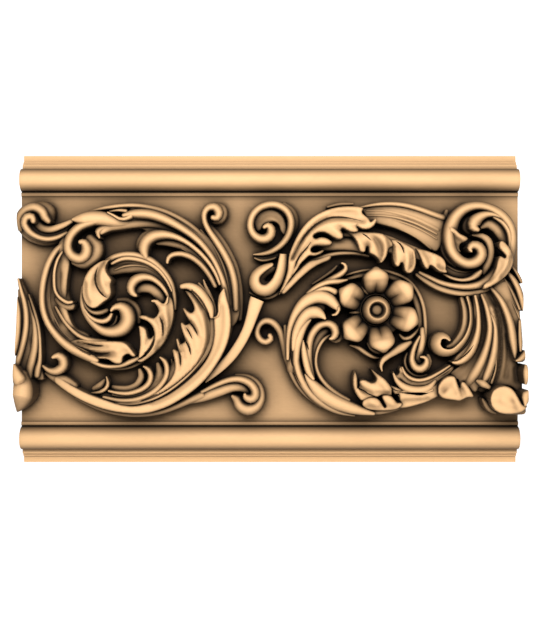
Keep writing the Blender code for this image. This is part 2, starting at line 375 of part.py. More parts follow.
def headings(line):
    """The direction of travel at each point of the line."""
    result = []
    for index in range(len(line)):
        back = line[max(index - 1, 0)]
        front = line[min(index + 1, len(line) - 1)]
        result.append(math.atan2(front[1] - back[1], front[0] - back[0]))
    return result


def turn_between(first, second):
    """Signed turn from one heading to another."""
    return (second - first + math.pi) % (2.0 * math.pi) - math.pi


def drift(first, last, point):
    """How far a point lies from the straight run between two others, widths and heights counted in."""
    span = [b - a for a, b in zip(first, last)]
    along = [c - a for a, c in zip(first, point)]
    length = sum(value * value for value in span)
    share = 0.0
    if length > 0.0:
        share = min(max(sum(a * b for a, b in zip(span, along)) / length, 0.0), 1.0)
    return math.dist(along, [value * share for value in span])


def needed(rows, first, last):
    """Indices of the few rows that keep the stroke within the set tolerance, ends included."""
    worst = 0.0
    middle = None
    for index in range(first + 1, last):
        off = drift(rows[first], rows[last], rows[index])
        if off > worst:
            worst = off
            middle = index
    if worst < TOLERANCE:
        return [first, last]
    return needed(rows, first, middle)[:-1] + needed(rows, middle, last)


def stations(crowns, points):
    """The few sections a stroke needs: (x, z, half width, crown, heading, bend) each."""
    line = smooth_line(points)
    ways = headings(line)
    rows = [(x, z, half * WIDTH_WEIGHT, spread(crowns, part) * CROWN_WEIGHT) for x, z, half, part in line]
    result = []
    for index in needed(rows, 0, len(rows) - 1):
        low = max(index - 3, 0)
        high = min(index + 3, len(line) - 1)
        length = sum(math.dist(line[k][:2], line[k + 1][:2]) for k in range(low, high))
        bend = turn_between(ways[low], ways[high]) / max(length, 0.001)
        x, z, half, part = line[index]
        result.append((x, z, half, spread(crowns, part), ways[index], bend))
    return result


def place(x, z, height):
    """Drawing point at a height above the ground, as a point of the part in metres."""
    draw_in = 1.0 - height / EYE_DISTANCE
    return (x * draw_in * MM, -(GROUND_DEPTH + height) * MM, z * draw_in * MM)


def stroke_rings(crowns, points):
    """Five-sided sections along a stroke: two feet, two shoulders and the crown."""
    rings = []
    for x, z, half, crown, way, bend in stations(crowns, points):
        half = max(half, 0.6)
        side_x = -math.sin(way)
        side_z = math.cos(way)
        left = half
        right = half
        if bend > 0.0:
            left = min(half, 0.8 / bend)
        if bend < 0.0:
            right = min(half, -0.8 / bend)
        shoulder = max(crown - 0.75 * half, 0.55 * crown)
        ring = []
        for reach, height in ((left, shoulder), (0.0, crown), (-right, shoulder)):
            ring.append(place(x + side_x * reach, z + side_z * reach, height))
        foot_left = (ring[0][0], -(GROUND_DEPTH - ROOT_SINK) * MM, ring[0][2])
        foot_right = (ring[2][0], -(GROUND_DEPTH - ROOT_SINK) * MM, ring[2][2])
        rings.append([foot_left, *ring, foot_right])
    return rings


def lofted(name, rings, collection):
    """A closed body through rings of equal count, with flat ends."""
    shape = bmesh.new()
    loops = [[shape.verts.new(point) for point in ring] for ring in rings]
    count = len(rings[0])
    for first, second in zip(loops, loops[1:]):
        for index in range(count):
            after = (index + 1) % count
            shape.faces.new((first[index], first[after], second[after], second[index]))
    shape.faces.new(loops[0])
    shape.faces.new(loops[-1])
    bmesh.ops.recalc_face_normals(shape, faces=shape.faces)
    bmesh.ops.triangulate(shape, faces=shape.faces)
    mesh = bpy.data.meshes.new(name)
    shape.to_mesh(mesh)
    shape.free()
    item = bpy.data.objects.new(name, mesh)
    collection.objects.link(item)
    return item


def turned(name, profile, sides, collection):
    """A round body on the flower's middle, spun from a profile of (radius, height), closed at both ends."""
    shape = bmesh.new()
    middle = place(FLOWER_X, FLOWER_Z, PETAL_CROWNS[2])
    points = []
    for radius, height in [(0.0, profile[0][1]), *profile, (0.0, profile[-1][1])]:
        points.append(shape.verts.new((middle[0] + radius * MM, -(GROUND_DEPTH + height) * MM, middle[2])))
    edges = [shape.edges.new(pair) for pair in zip(points, points[1:])]
    bmesh.ops.spin(shape, geom=points + edges, cent=(middle[0], 0.0, middle[2]), axis=(0.0, 1.0, 0.0),
                   angle=2.0 * math.pi, steps=sides)
    bmesh.ops.remove_doubles(shape, verts=shape.verts, dist=0.00001)
    bmesh.ops.recalc_face_normals(shape, faces=shape.faces)
    mesh = bpy.data.meshes.new(name)
    shape.to_mesh(mesh)
    shape.free()
    item = bpy.data.objects.new(name, mesh)
    collection.objects.link(item)
    return item


def petal(angle, collection):
    """One petal, as a stroke running out from the boss."""
    away = math.radians(angle)
    points = []
    for radius, half in PETAL_STATIONS:
        points.append((FLOWER_X + radius * math.cos(away), FLOWER_Z + radius * math.sin(away), half))
    return lofted(f"petal_{angle % 360}", stroke_rings(PETAL_CROWNS, points), collection)


def board_profile():
    """Half profile from the outer edge inwards, as (distance from the middle line, height above the ground)."""
    profile = list(STEPS)
    for facet in range(BEAD_FACETS + 1):
        angle = math.radians(2.0 + 176.0 * facet / BEAD_FACETS)
        profile.append((BEAD_MIDDLE + BEAD_RADIUS * math.cos(angle), BEAD_LIFT + BEAD_RADIUS * math.sin(angle)))
    return profile + INNER_FILLET


def board(material, collection):
    """The moulded board, a little longer than the part so that its ends can be cut square."""
    upper = board_profile()
    outline = [(z, -(GROUND_DEPTH + height)) for z, height in upper]
    outline += [(-z, -(GROUND_DEPTH + height)) for z, height in reversed(upper)]
    outline += [(-EDGE_OUT, 0.0), (EDGE_OUT, 0.0)]
    far = HALF_LENGTH + RUN_OUT
    shape = bmesh.new()
    ring = [shape.verts.new((-far * MM, y * MM, z * MM)) for z, y in outline]
    face = shape.faces.new(ring)
    grown = bmesh.ops.extrude_face_region(shape, geom=[face])
    moved = [element for element in grown["geom"] if isinstance(element, bmesh.types.BMVert)]
    bmesh.ops.translate(shape, verts=moved, vec=(2.0 * far * MM, 0.0, 0.0))
    bmesh.ops.recalc_face_normals(shape, faces=shape.faces)
    mesh = bpy.data.meshes.new("carved_panel")
    shape.to_mesh(mesh)
    shape.free()
    mesh.materials.append(material)
    item = bpy.data.objects.new("carved_panel", mesh)
    collection.objects.link(item)
    return item


def new_collection(name):
    """A collection linked to the scene."""
    collection = bpy.data.collections.new(name)
    bpy.context.scene.collection.children.link(collection)
    return collection


def hide_cutters(collection):
    """Cutters are not part of the picture."""
    for item in collection.objects:
        item.hide_render = True
        item.display_type = "WIRE"


def end_box(collection):
    """The box that squares off both ends."""
    mesh = bpy.data.meshes.new("square_ends")
    shape = bmesh.new()
    bmesh.ops.create_cube(shape, size=1.0)
    bmesh.ops.scale(shape, verts=shape.verts, vec=(2.0 * HALF_LENGTH * MM, 0.4, 0.4))
    shape.to_mesh(mesh)
    shape.free()
    item = bpy.data.objects.new("square_ends", mesh)
    collection.objects.link(item)
    return item


clear_scene()
panel = board(wood("carved_wood", (0.60, 0.42, 0.25)), new_collection("floral_panel"))

carving = new_collection("carving")
for stroke_name, stroke_crowns, stroke_points in STROKES:
    lofted(stroke_name.replace(" ", "_"), stroke_rings(stroke_crowns, stroke_points), carving)
for petal_angle in PETAL_ANGLES:
    petal(petal_angle, carving)
turned("flower_collar", COLLAR_RINGS, 12, carving)
turned("flower_boss", BOSS_RINGS, 12, carving)
hide_cutters(carving)

ends = new_collection("ends")
box = end_box(ends)
hide_cutters(ends)

raise_carving = panel.modifiers.new("raise_carving", "BOOLEAN")
raise_carving.operation = "UNION"
raise_carving.operand_type = "COLLECTION"
raise_carving.collection = carving
raise_carving.solver = "EXACT"
raise_carving.use_self = True

cut_ends = panel.modifiers.new("cut_ends", "BOOLEAN")
cut_ends.operation = "INTERSECT"
cut_ends.operand_type = "OBJECT"
cut_ends.object = box
cut_ends.solver = "EXACT"

knit = panel.modifiers.new("knit", "WELD")
knit.merge_threshold = 0.00005
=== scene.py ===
# %% [markdown]
# # A carved frieze panel
#
# This lesson dresses a straight length of carved frieze: a flat ground between two run mouldings, with
# acanthus scrolls, volutes and one open flower standing up to four centimetres from it. The real panel is
# one board of smooth, pale brown wood, carved as one piece, so everything here ends as one closed mesh. The
# solid model of the panel is loaded first. It fixes the size and the place of every scroll.

# %% Load the solid panel
import json
import math

import bmesh
import bpy
import numpy as np
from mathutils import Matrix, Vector
from mathutils.bvhtree import BVHTree
from mathutils.geometry import delaunay_2d_cdt

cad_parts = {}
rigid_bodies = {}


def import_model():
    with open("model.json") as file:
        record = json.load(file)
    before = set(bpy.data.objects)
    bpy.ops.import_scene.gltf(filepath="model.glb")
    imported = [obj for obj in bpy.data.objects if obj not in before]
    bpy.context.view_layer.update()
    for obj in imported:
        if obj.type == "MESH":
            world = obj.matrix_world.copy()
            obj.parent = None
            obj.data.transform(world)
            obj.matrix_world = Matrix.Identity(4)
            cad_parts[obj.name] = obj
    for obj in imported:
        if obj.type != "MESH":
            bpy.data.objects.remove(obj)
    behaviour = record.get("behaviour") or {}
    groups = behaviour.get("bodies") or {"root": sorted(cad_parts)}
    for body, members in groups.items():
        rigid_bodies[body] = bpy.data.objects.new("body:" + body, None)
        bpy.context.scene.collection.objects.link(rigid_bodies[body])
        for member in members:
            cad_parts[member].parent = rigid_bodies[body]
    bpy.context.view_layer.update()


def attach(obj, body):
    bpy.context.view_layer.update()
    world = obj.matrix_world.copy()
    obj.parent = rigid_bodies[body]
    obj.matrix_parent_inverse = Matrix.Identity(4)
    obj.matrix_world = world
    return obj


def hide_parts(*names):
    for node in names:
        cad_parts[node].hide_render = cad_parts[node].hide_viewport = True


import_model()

# %% [markdown]
# ## One way of placing every point
#
# The carving was drawn as it is seen from straight in front, one metre away, with one drawing millimetre on
# the ground of the panel. A point that stands above the ground looks further from the middle than it is, so
# `place` draws it back in by its height. Y points into the wall, and the ground lies 24 mm before it.

# %% Sizes and placing
MM = 0.001
EYE_DISTANCE = 1000.0
GROUND_DEPTH = 24.0
HALF_LENGTH = 248.0
EDGE_OUT = 154.4
RUN_OUT = 12.0
EYE = Vector((0.0, -(GROUND_DEPTH + EYE_DISTANCE) * MM, 0.0))


def place(x, z, height):
    """A drawing point at a height above the ground, in metres."""
    draw_in = 1.0 - height / EYE_DISTANCE
    return Vector((x * draw_in * MM, -(GROUND_DEPTH + height) * MM, z * draw_in * MM))


def triangles(mesh):
    """How many triangles a mesh has."""
    return sum(len(face.vertices) - 2 for face in mesh.polygons)


def mesh_from(shape, name):
    """Write a worked shape out as a mesh."""
    mesh = bpy.data.meshes.new(name)
    shape.to_mesh(mesh)
    shape.free()
    return mesh


def add_item(name, data, collection=bpy.context.scene.collection):
    """A new object at the origin, linked into a collection."""
    item = bpy.data.objects.new(name, data)
    collection.objects.link(item)
    return item


def evaluated_mesh(item):
    """What the object's modifiers make of it, as a plain mesh."""
    return bpy.data.meshes.new_from_object(item.evaluated_get(bpy.context.evaluated_depsgraph_get()))


# %% [markdown]
# ## The gouge stroke
#
# A carver models a scroll as long rolls, lobes and rims, each cut with a few sweeps of one gouge. Here each
# is a *stroke*: a middle line with a half width, and the height of its crown. Bevelled curves could make
# plain rolls, but a carved roll has steep walls down to the ground, changes its height as it runs and ends
# in a soft nose. So a stroke is lofted: a section is built at every step along a smooth line and joined to
# the next.

# %% Smooth line through a stroke's points
def spread(values, part):
    """The value at a fraction of the way along an evenly spread list."""
    place_in = part * (len(values) - 1)
    first = min(int(place_in), len(values) - 2)
    share = place_in - first
    return values[first] * (1.0 - share) + values[first + 1] * share


def smooth_line(points, step_length):
    """Evenly stepped (x, z, half width, fraction) rows along a smooth line through the points."""
    line = []
    last = len(points) - 1
    for index in range(last):
        before = points[max(index - 1, 0)]
        start = points[index]
        end = points[index + 1]
        after = points[min(index + 2, last)]
        steps = max(2, round(math.dist(start[:2], end[:2]) / step_length))
        for step in range(steps):
            t = step / steps
            row = []
            for a, b, c, d in zip(before, start, end, after):
                bend = (2.0 * a - 5.0 * b + 4.0 * c - d) * t * t + (3.0 * b - a - 3.0 * c + d) * t ** 3
                row.append(0.5 * (2.0 * b + (c - a) * t + bend))
            line.append((*row, (index + t) / last))
    line.append((*points[-1], 1.0))
    return line


# %% [markdown]
# ## Sections
#
# The section is what makes a roll look like a roll. Each kind is a list of (side, drop) pairs: how far to
# the side a point lies, in half widths, and how far below the crown, also in half widths. A *roll* is
# nearly half round, a *swell* is a flatter leaf surface, a *dome* belongs to bulbs, and a *lip* has its
# crown to one side.

# %% Section kinds
SECTION_STEPS = 8


def arc_section(depth, power=2.0, lean=0.0):
    """Half of a rounded section, crown upward; power over 2 makes it fuller, lean tips it sideways."""
    pairs = []
    for step in range(SECTION_STEPS + 1):
        side = math.sin(math.radians(90.0 - 180.0 * step / SECTION_STEPS))
        drop = depth * (1.0 - max(0.0, 1.0 - abs(side) ** power) ** (1.0 / power))
        pairs.append((side, drop + abs(lean) * (1.0 + math.copysign(1.0, lean) * side) * 0.5))
    return pairs


SECTIONS = {
    "roll": arc_section(1.35, 1.9),
    "swell": arc_section(0.85, 2.0),
    "flat": arc_section(0.45, 3.0),
    "dome": arc_section(1.25),
    "lip_right": arc_section(0.8, 2.0, 0.8),
    "slope_right": arc_section(0.6, 2.0, 1.5),
}
print("section kinds", ", ".join(SECTIONS))


# %% Lofting a stroke
FOOT_SINK = 1.5
FOOT = -(GROUND_DEPTH - FOOT_SINK) * MM
STEP_LENGTH = 2.6
NOSE = ((0.5, 0.87), (0.85, 0.53), (1.0, 0.15))
NOSE_LENGTH = 0.85
LEAST_HALF_WIDTH = 0.5
LEAST_CROWN_SHARE = 0.35
SQUARE_ENDS = {"strut": ("end",), "knot": ("start",)}


def heading(line, index):
    """The way a line runs at one of its points."""
    back = line[max(index - 1, 0)]
    front = line[min(index + 1, len(line) - 1)]
    return math.atan2(front[1] - back[1], front[0] - back[0])


def nose_rows(row, sense):
    """Rows that round off one end of a stroke, beyond its first or last row."""
    x, z, half, part, way, _ = row
    rows = []
    for reach, narrow in NOSE:
        forward = sense * reach * NOSE_LENGTH * half
        spot = (x + math.cos(way) * forward, z + math.sin(way) * forward)
        rows.append((*spot, half * narrow, part, way, half * (1.0 - narrow)))
    return rows


def stroke_rows(points, square):
    """(x, z, half width, fraction, heading, extra drop) along the stroke, with its noses."""
    line = smooth_line(points, STEP_LENGTH)
    rows = []
    for index, (x, z, half, part) in enumerate(line):
        rows.append((x, z, max(half, LEAST_HALF_WIDTH), part, heading(line, index), 0.0))
    start = [] if "start" in square else nose_rows(rows[0], -1.0)[::-1]
    end = [] if "end" in square else nose_rows(rows[-1], 1.0)
    return start + rows + end


def footed(ring):
    """A section closed by two points at its foot, inside the ground."""
    return [Vector((ring[0].x, FOOT, ring[0].z)), *ring, Vector((ring[-1].x, FOOT, ring[-1].z))]


def stroke_rings(kind, crowns, points, square):
    """The closed sections of a stroke, from foot to foot over the crown."""
    rings = []
    for x, z, half, part, way, extra in stroke_rows(points, square):
        crown = spread(crowns, part)
        side_x = -math.sin(way)
        side_z = math.cos(way)
        ring = []
        for side, drop in SECTIONS[kind]:
            height = max(crown - drop * half - extra, LEAST_CROWN_SHARE * crown)
            ring.append(place(x + side_x * side * half, z + side_z * side * half, height))
        rings.append(footed(ring))
    return rings


def lofted(name, rings):
    """A closed body through rings of equal count."""
    shape = bmesh.new()
    loops = [[shape.verts.new(point) for point in ring] for ring in rings]
    count = len(rings[0])
    for first, second in zip(loops, loops[1:]):
        for index in range(count):
            after = (index + 1) % count
            shape.faces.new((first[index], first[after], second[after], second[index]))
    shape.faces.new(loops[0])
    shape.faces.new(loops[-1])
    bmesh.ops.recalc_face_normals(shape, faces=shape.faces)
    return mesh_from(shape, name)


def new_collection(name):
    """A collection in the scene, for bodies that one Boolean takes together."""
    collection = bpy.data.collections.new(name)
    bpy.context.scene.collection.children.link(collection)
    return collection


def number_rows(text):
    """Turn "1 2 3, 4 5 6" into a list of number tuples."""
    return [tuple(float(word) for word in spot.split()) for spot in text.split(",")]


def table_rows(text):
    """A table written as text: a semicolon ends each row, and bars part its cells."""
    return [[cell.strip() for cell in row.split("|")] for row in text.split(";") if row.strip()]


def carve(strokes):
    """Loft each stroke of a table: name, kind, crown heights, then x, z and half width at each point."""
    rows = table_rows(strokes)
    for label, kind, crowns, points in rows:
        rings = stroke_rings(kind, number_rows(crowns)[0], number_rows(points), SQUARE_ENDS.get(label, ()))
        name = label.replace(" ", "_")
        add_item(name, lofted(name, rings), carving)
    print("carved", len(rows), "strokes, the last is", label)


carving = new_collection("carving")

# %% [markdown]
# ## Corner crook, upper left
#
# A small crook closes the scroll that the cut has taken away: a fat outer roll, a curled eye inside it and
# thin lips running off to the leaf. Each strand is a stroke of its own, because they differ in height and
# width.

# %% Corner crook, upper left
CORNER_SCROLL = """
corner crook | roll | 18 24 27 28 26 | -249 80 3, -250.5 90 4.2, -245 98 5, -236 101.5 5.2, -228.5 98 5.2,
-225 92 4.5, -221.5 88 3;
corner eye | roll | 22 25 29 32 32 | -203 76 1.8, -213 71.5 2.4, -223 70 2.6, -233 72.5 2.8, -241 78 3.4,
-245.5 86 3.8, -243 92 4, -238 92 4, -236.5 88 3;
corner lip | swell | 24 22 20 18 | -198 88 2, -207 83.5 3, -218 79.8 3.6, -227 80.5 4, -233 85 4;
corner channel | roll | 15 13 13 | -200 84 3, -210 77.5 4, -222 75 4.5, -234 78 4.5, -241 84 4;
corner skirt | roll | 12 11 12 | -248 79 3, -240 71 3, -226 66.5 3, -212 68.5 3, -204 73 2;
corner crook back | dome | 12 16 17 12 | -238 103 3, -228 102 6, -221 97 7, -218.5 90.5 4;
"""
carve(CORNER_SCROLL)

# %% [markdown]
# ## Sheath leaf and the great arc
#
# The stalk bursts from a sheath leaf, rolls under in a volute and sweeps over in a great arc. The arc is a
# bundle of bands, like cords laid side by side: the outer rim is low, the main band high, and hooked leaf
# tips peel away from the inside.

# %% Sheath leaf and the great arc
SHEATH_AND_ARC = """
sheath | swell | 26 30 30 28 25 20 | -197 89.5 1.5, -190 90 5, -180 91 7, -168 90.5 7.2, -159 88.5 6.5,
-150 86.5 4.5, -140 86.5 3;
sheath curl | roll | 29 29 30 32 34 | -176 87.5 4, -189 83 4.5, -198.5 74 4.5, -202 63 4.6, -198.5 54 5,
-190.5 50.5 5.5, -184.5 54 6, -183 61 5.5, -186 66.5 4, -189.5 67 2.5;
sheath ball | dome | 22 25 25 22 | -196 47 3, -186 46 6, -176.5 52 8, -174 62 8, -180 70 5;
soffit tip | roll | 22 24 26 | -146 84.5 1.5, -158 83.5 3, -167 81.5 3.6, -172 77 3, -170.5 71.5 1.2;
soffit | swell | 24 23 18 15 14 | -169 76 2, -160 83 5.5, -150 84.5 5.5, -135 85.5 4.5, -120 85.5 4,
-105 82 3.5, -90 74 3, -74 61 3;
hole lip | roll | 27 27 28 | -162 96.5 1, -156 93.5 1.4, -150 90.3 1.8, -144 90.5 2.2, -139 93 3;
hole brow | roll | 22 24 26 | -160 97.5 1, -151 98.8 1.4, -144 98 2;
arc rim | roll | 22 23 22 20 16 | -180 97.5 1.2, -165 101 2, -150 103 2.3, -135 103.4 2.5, -120 101.3 2.8,
-105 97 3, -92 91 3, -80 83.5 3, -70 75 2.8, -61 65 2.4, -54 54 2;
arc band | roll | 27 29 28 27 26 | -146 93.5 2.5, -139 95 4, -129 95.5 5, -117 94 5, -105 89.8 4.8,
-93 83.6 4.3, -82 76.5 4, -72 68.5 3.7, -63.5 59 3.4, -56.5 49 3.2, -51 38 3, -46.5 26 3, -43.5 12 2.8,
-42 -2 2;
arc flute | roll | 16 19 20 18 | -69 79 1, -62 70.5 1.4, -55 60.5 1.6, -49.5 50 1.7, -45 38 1.7, -42 25 1.6,
-39.5 10 1.4;
shadow rim | roll | 11 12 12 10 | -121 80 1, -110 81.8 1.3, -100 80.8 1.4, -90 77 1.4, -80 71.5 1.4, -71 64 1.3;
hook leaf | roll | 28 32 31 29 26 | -124 52 3, -126 59 5.6, -124 67 6, -117 72.7 5.6, -107 74.5 4.6,
-96 72.8 3.3, -86 68.5 2.6, -77 62.5 2.4, -68 54.5 2.3, -60 45 2.2, -54 35 2, -50 25 1.6;
hook leaf wall | roll | 16 18 14 | -128 55 3, -130 64 4, -125 73 4, -115 78 3;
hook inner | swell | 18 21 22 20 | -113 65.5 1.2, -103 66.5 3.4, -93 64.7 3.8, -83 60.3 3.6, -74 54 3.3,
-66 46 3, -59.5 36 2.6, -54.5 27 2;
hook inner flute | roll | 21 22 22 | -88 60.5 0.9, -79 54.5 1.2, -70 46.5 1.3, -62.5 37.5 1.2, -57 28 1;
thin hook | roll | 26 26 25 24 | -102.5 46.5 1.5, -101.3 51 2.3, -97 54.3 2.6, -89 55.2 2.8, -80 52.7 3.1,
-72 47.7 3.2, -65 40.7 3.2, -59 32 3, -54.5 23 2.4;
fern stem | roll | 22 24 24 25 28 | -34 0 3, -34.5 14 3.5, -35.5 27 3.8, -39 41 3.8, -45 54 3.8, -53 67 3.6,
-60.5 78 3, -65 87.5 2.8, -65.3 96 3.2, -61 101.5 3.8, -54.5 101.7 4.6, -51 96.5 5, -53 91.5 4, -57 91.5 2.6;
fern back | swell | 12 14 14 10 | -30 -10 2.5, -30 10 3.5, -32 27 4, -35.5 42 4, -41 55 3.8, -48 67 3.6,
-55 76.5 3.2, -61 84 2;
fern ball | roll | 16 19 19 15 | -54 104 2.5, -48 101 4, -46.5 94.5 4.5, -50 89 4, -56 87 2;
"""
carve(SHEATH_AND_ARC)

# %% [markdown]
# ## Ring round the inner scroll
#
# The stalk winds on into a ring, with a rim outside, reeds within and a cupped leaf that grips the ring's
# foot. A low, wide bed stroke joins the reeds, so that no slot opens between them down to the ground.

# %% Ring round the inner scroll
LEFT_RING = """
ring outer | roll | 20 26 28 28 29 28 | -206 66 2, -214.5 57 3.4, -221.5 45 3.6, -226 30 3.5, -227.8 15 3.3,
-227 1 3.2, -223 -12 3.3, -216.5 -22.5 3.6, -208 -32 4.2, -198 -39.5 4.6, -187 -45 4.8, -178 -49.5 4.2,
-173 -51.5 2.6;
ring rim | roll | 14 15 15 14 | -170 -57 1.2, -156 -59.5 1.6, -142 -58.5 1.8, -130 -53.5 2, -119 -45 2;
ring bed | swell | 12 13 13 14 | -213 50 4, -220 30 6, -220.5 10 7, -215 -10 8, -204 -26 8, -190 -37 8,
-176 -42 7;
ring reed | roll | 15 17 17 19 | -208.5 57 0.9, -211 57 0.9, -216.5 43 1.2, -220.5 30 1.3, -220.5 10 1.4,
-219 0 1.4, -215 -10 1.5, -208 -22 1.6, -198 -31.5 1.6, -187 -37.5 1.5, -180 -39.5 1.2;
ring lobe | slope_right | 20 22 22 22 20 | -205 58 3.5, -207.5 48 5.5, -209 36 6, -208.5 24 5.8, -205 14 5,
-200.5 8 2;
ring lobe chin | dome | 18 22 24 | -213 10 2.5, -208 5 3.5, -202 3 4.5, -198 3 4;
ring second | roll | 18 21 23 26 | -214 2 1.4, -210 -5 1.8, -205 -13 2, -199 -20 2, -192 -26 2.2, -184 -30 2.6,
-174 -32.5 3, -164 -33.5 3;
ring outer fork | roll | 27 27 27 | -178 -52 2.2, -168 -56.5 2, -158 -57.5 2, -147 -55.8 2.4, -137 -51.5 2.6,
-131 -48.5 1.5;
ring lobe ridge | roll | 24 26 27 28 | -207.5 57 1.2, -212 50 1.5, -215 40 1.6, -215.7 30 1.6, -215 20 1.6,
-212 13.5 1.6, -207 9 1.8, -202 6.5 2, -198 7 1.6;
ring shoulder | swell | 20 22 20 | -204 68 3, -207 61 5, -208 52 5;
"""
carve(LEFT_RING)

# %% [markdown]
# ## Core of the scroll
#
# In the heart of the scroll a bulging leaf head hangs over a fat volute, and torn leaf lobes hook back over
# the inner band. Bulges are swell sections, and curled edges are rolls that stand a little higher.

# %% Core of the scroll
CORE = """
core mouth | roll | 27 28 29 | -117.5 8 1.2, -113 7.5 2, -109 4.5 2, -105.5 4 1.8, -103 7 1.6, -102 12 0.8;
core outer roll | roll | 20 24 27 27 26 | -95 0 1.5, -95.5 12 2.2, -99 26 3, -107 38 3.4, -118 48 3.4,
-130 53 3.4, -143 54.5 3.2, -155 52 3.2, -164 47 2.4;
core second roll | roll | 24 27 28 28 | -98 18 1.2, -104 30 1.8, -113 40.5 2.2, -125 47.5 2.4, -138 50.5 2.4,
-148 50 2.2, -158 45.5 1.5;
core soffit | swell | 18 20 20 18 | -99 3 3, -101 15 4, -106 26 5, -114 35 6, -124 40 6.4, -135 42 6.4,
-147 41.5 6, -157 38.5 5, -162 35 3;
core soffit reed | roll | 20 22 22 20 | -114 38.5 0.9, -124 42.5 1.2, -135 43.8 1.3, -146 42.5 1.2, -155 39 1;
hook roll | roll | 26 28 30 31 31 | -101.5 12 1.3, -105 19 2, -111 26 2.5, -119 31 3.2, -128 31.8 4.2,
-135.5 28.3 5, -139 21.5 4.6, -137.3 16 3.4, -134 13.5 1.8;
hook bowl | swell | 19 21 21 20 | -134 16.5 2, -127.5 21 4.6, -118.5 20.5 5.2, -111.5 15 5.2, -108 8.5 4.5;
head chin | roll | 24 25 25 22 | -186.5 14 1.2, -184.5 4 1.8, -178.5 -2.8 2.4, -170.5 -4 2.8, -163 -1.5 2.4;
volute | roll | 24 26 27 29 32 34 | -187.5 22 1, -188 10 2, -186 0 2.7, -181 -9 3.4, -174 -16.5 4.2,
-165.5 -22 5.2, -155.5 -23 6.4, -146.5 -19 7.6, -142 -10.5 8, -144 -2 7, -150 2.5 4.6, -156 1.2 2.6,
-158.5 -1.5 1.4;
volute tongue | roll | 26 28 30 30 | -185.5 0 1.2, -181 -6.5 1.6, -174.5 -11 2.2, -167 -12.3 2.6,
-161.3 -10 2.5, -158.3 -5 1.5;
volute reed | roll | 18 19 20 | -176 -14 1, -169 -17.3 1.3, -161 -18.2 1.4, -155 -14 1.4, -153 -7.5 1.1;
volute bed | swell | 14 14 14 | -178 -6 4, -168 -10 6, -158 -10 7, -153 -6 5;
volute rim | roll | 13 15 15 13 | -152 9 2, -142 8.5 3, -134.5 3 3.2, -131 -5 3, -131 -13 2;
core roll bed | swell | 16 20 22 22 20 | -97 8 3, -101 24 4, -110 37 5, -124 46 6, -139 49 6, -154 47 5;
"""
carve(CORE)

# %% [markdown]
# ## Great acanthus leaf
#
# The largest leaf fans out below the arc: eight lobes leave the midrib one after another, each with a
# pointed tip. A carver sets the main masses first and splits them with a veiner, so each lobe overlaps the
# next.

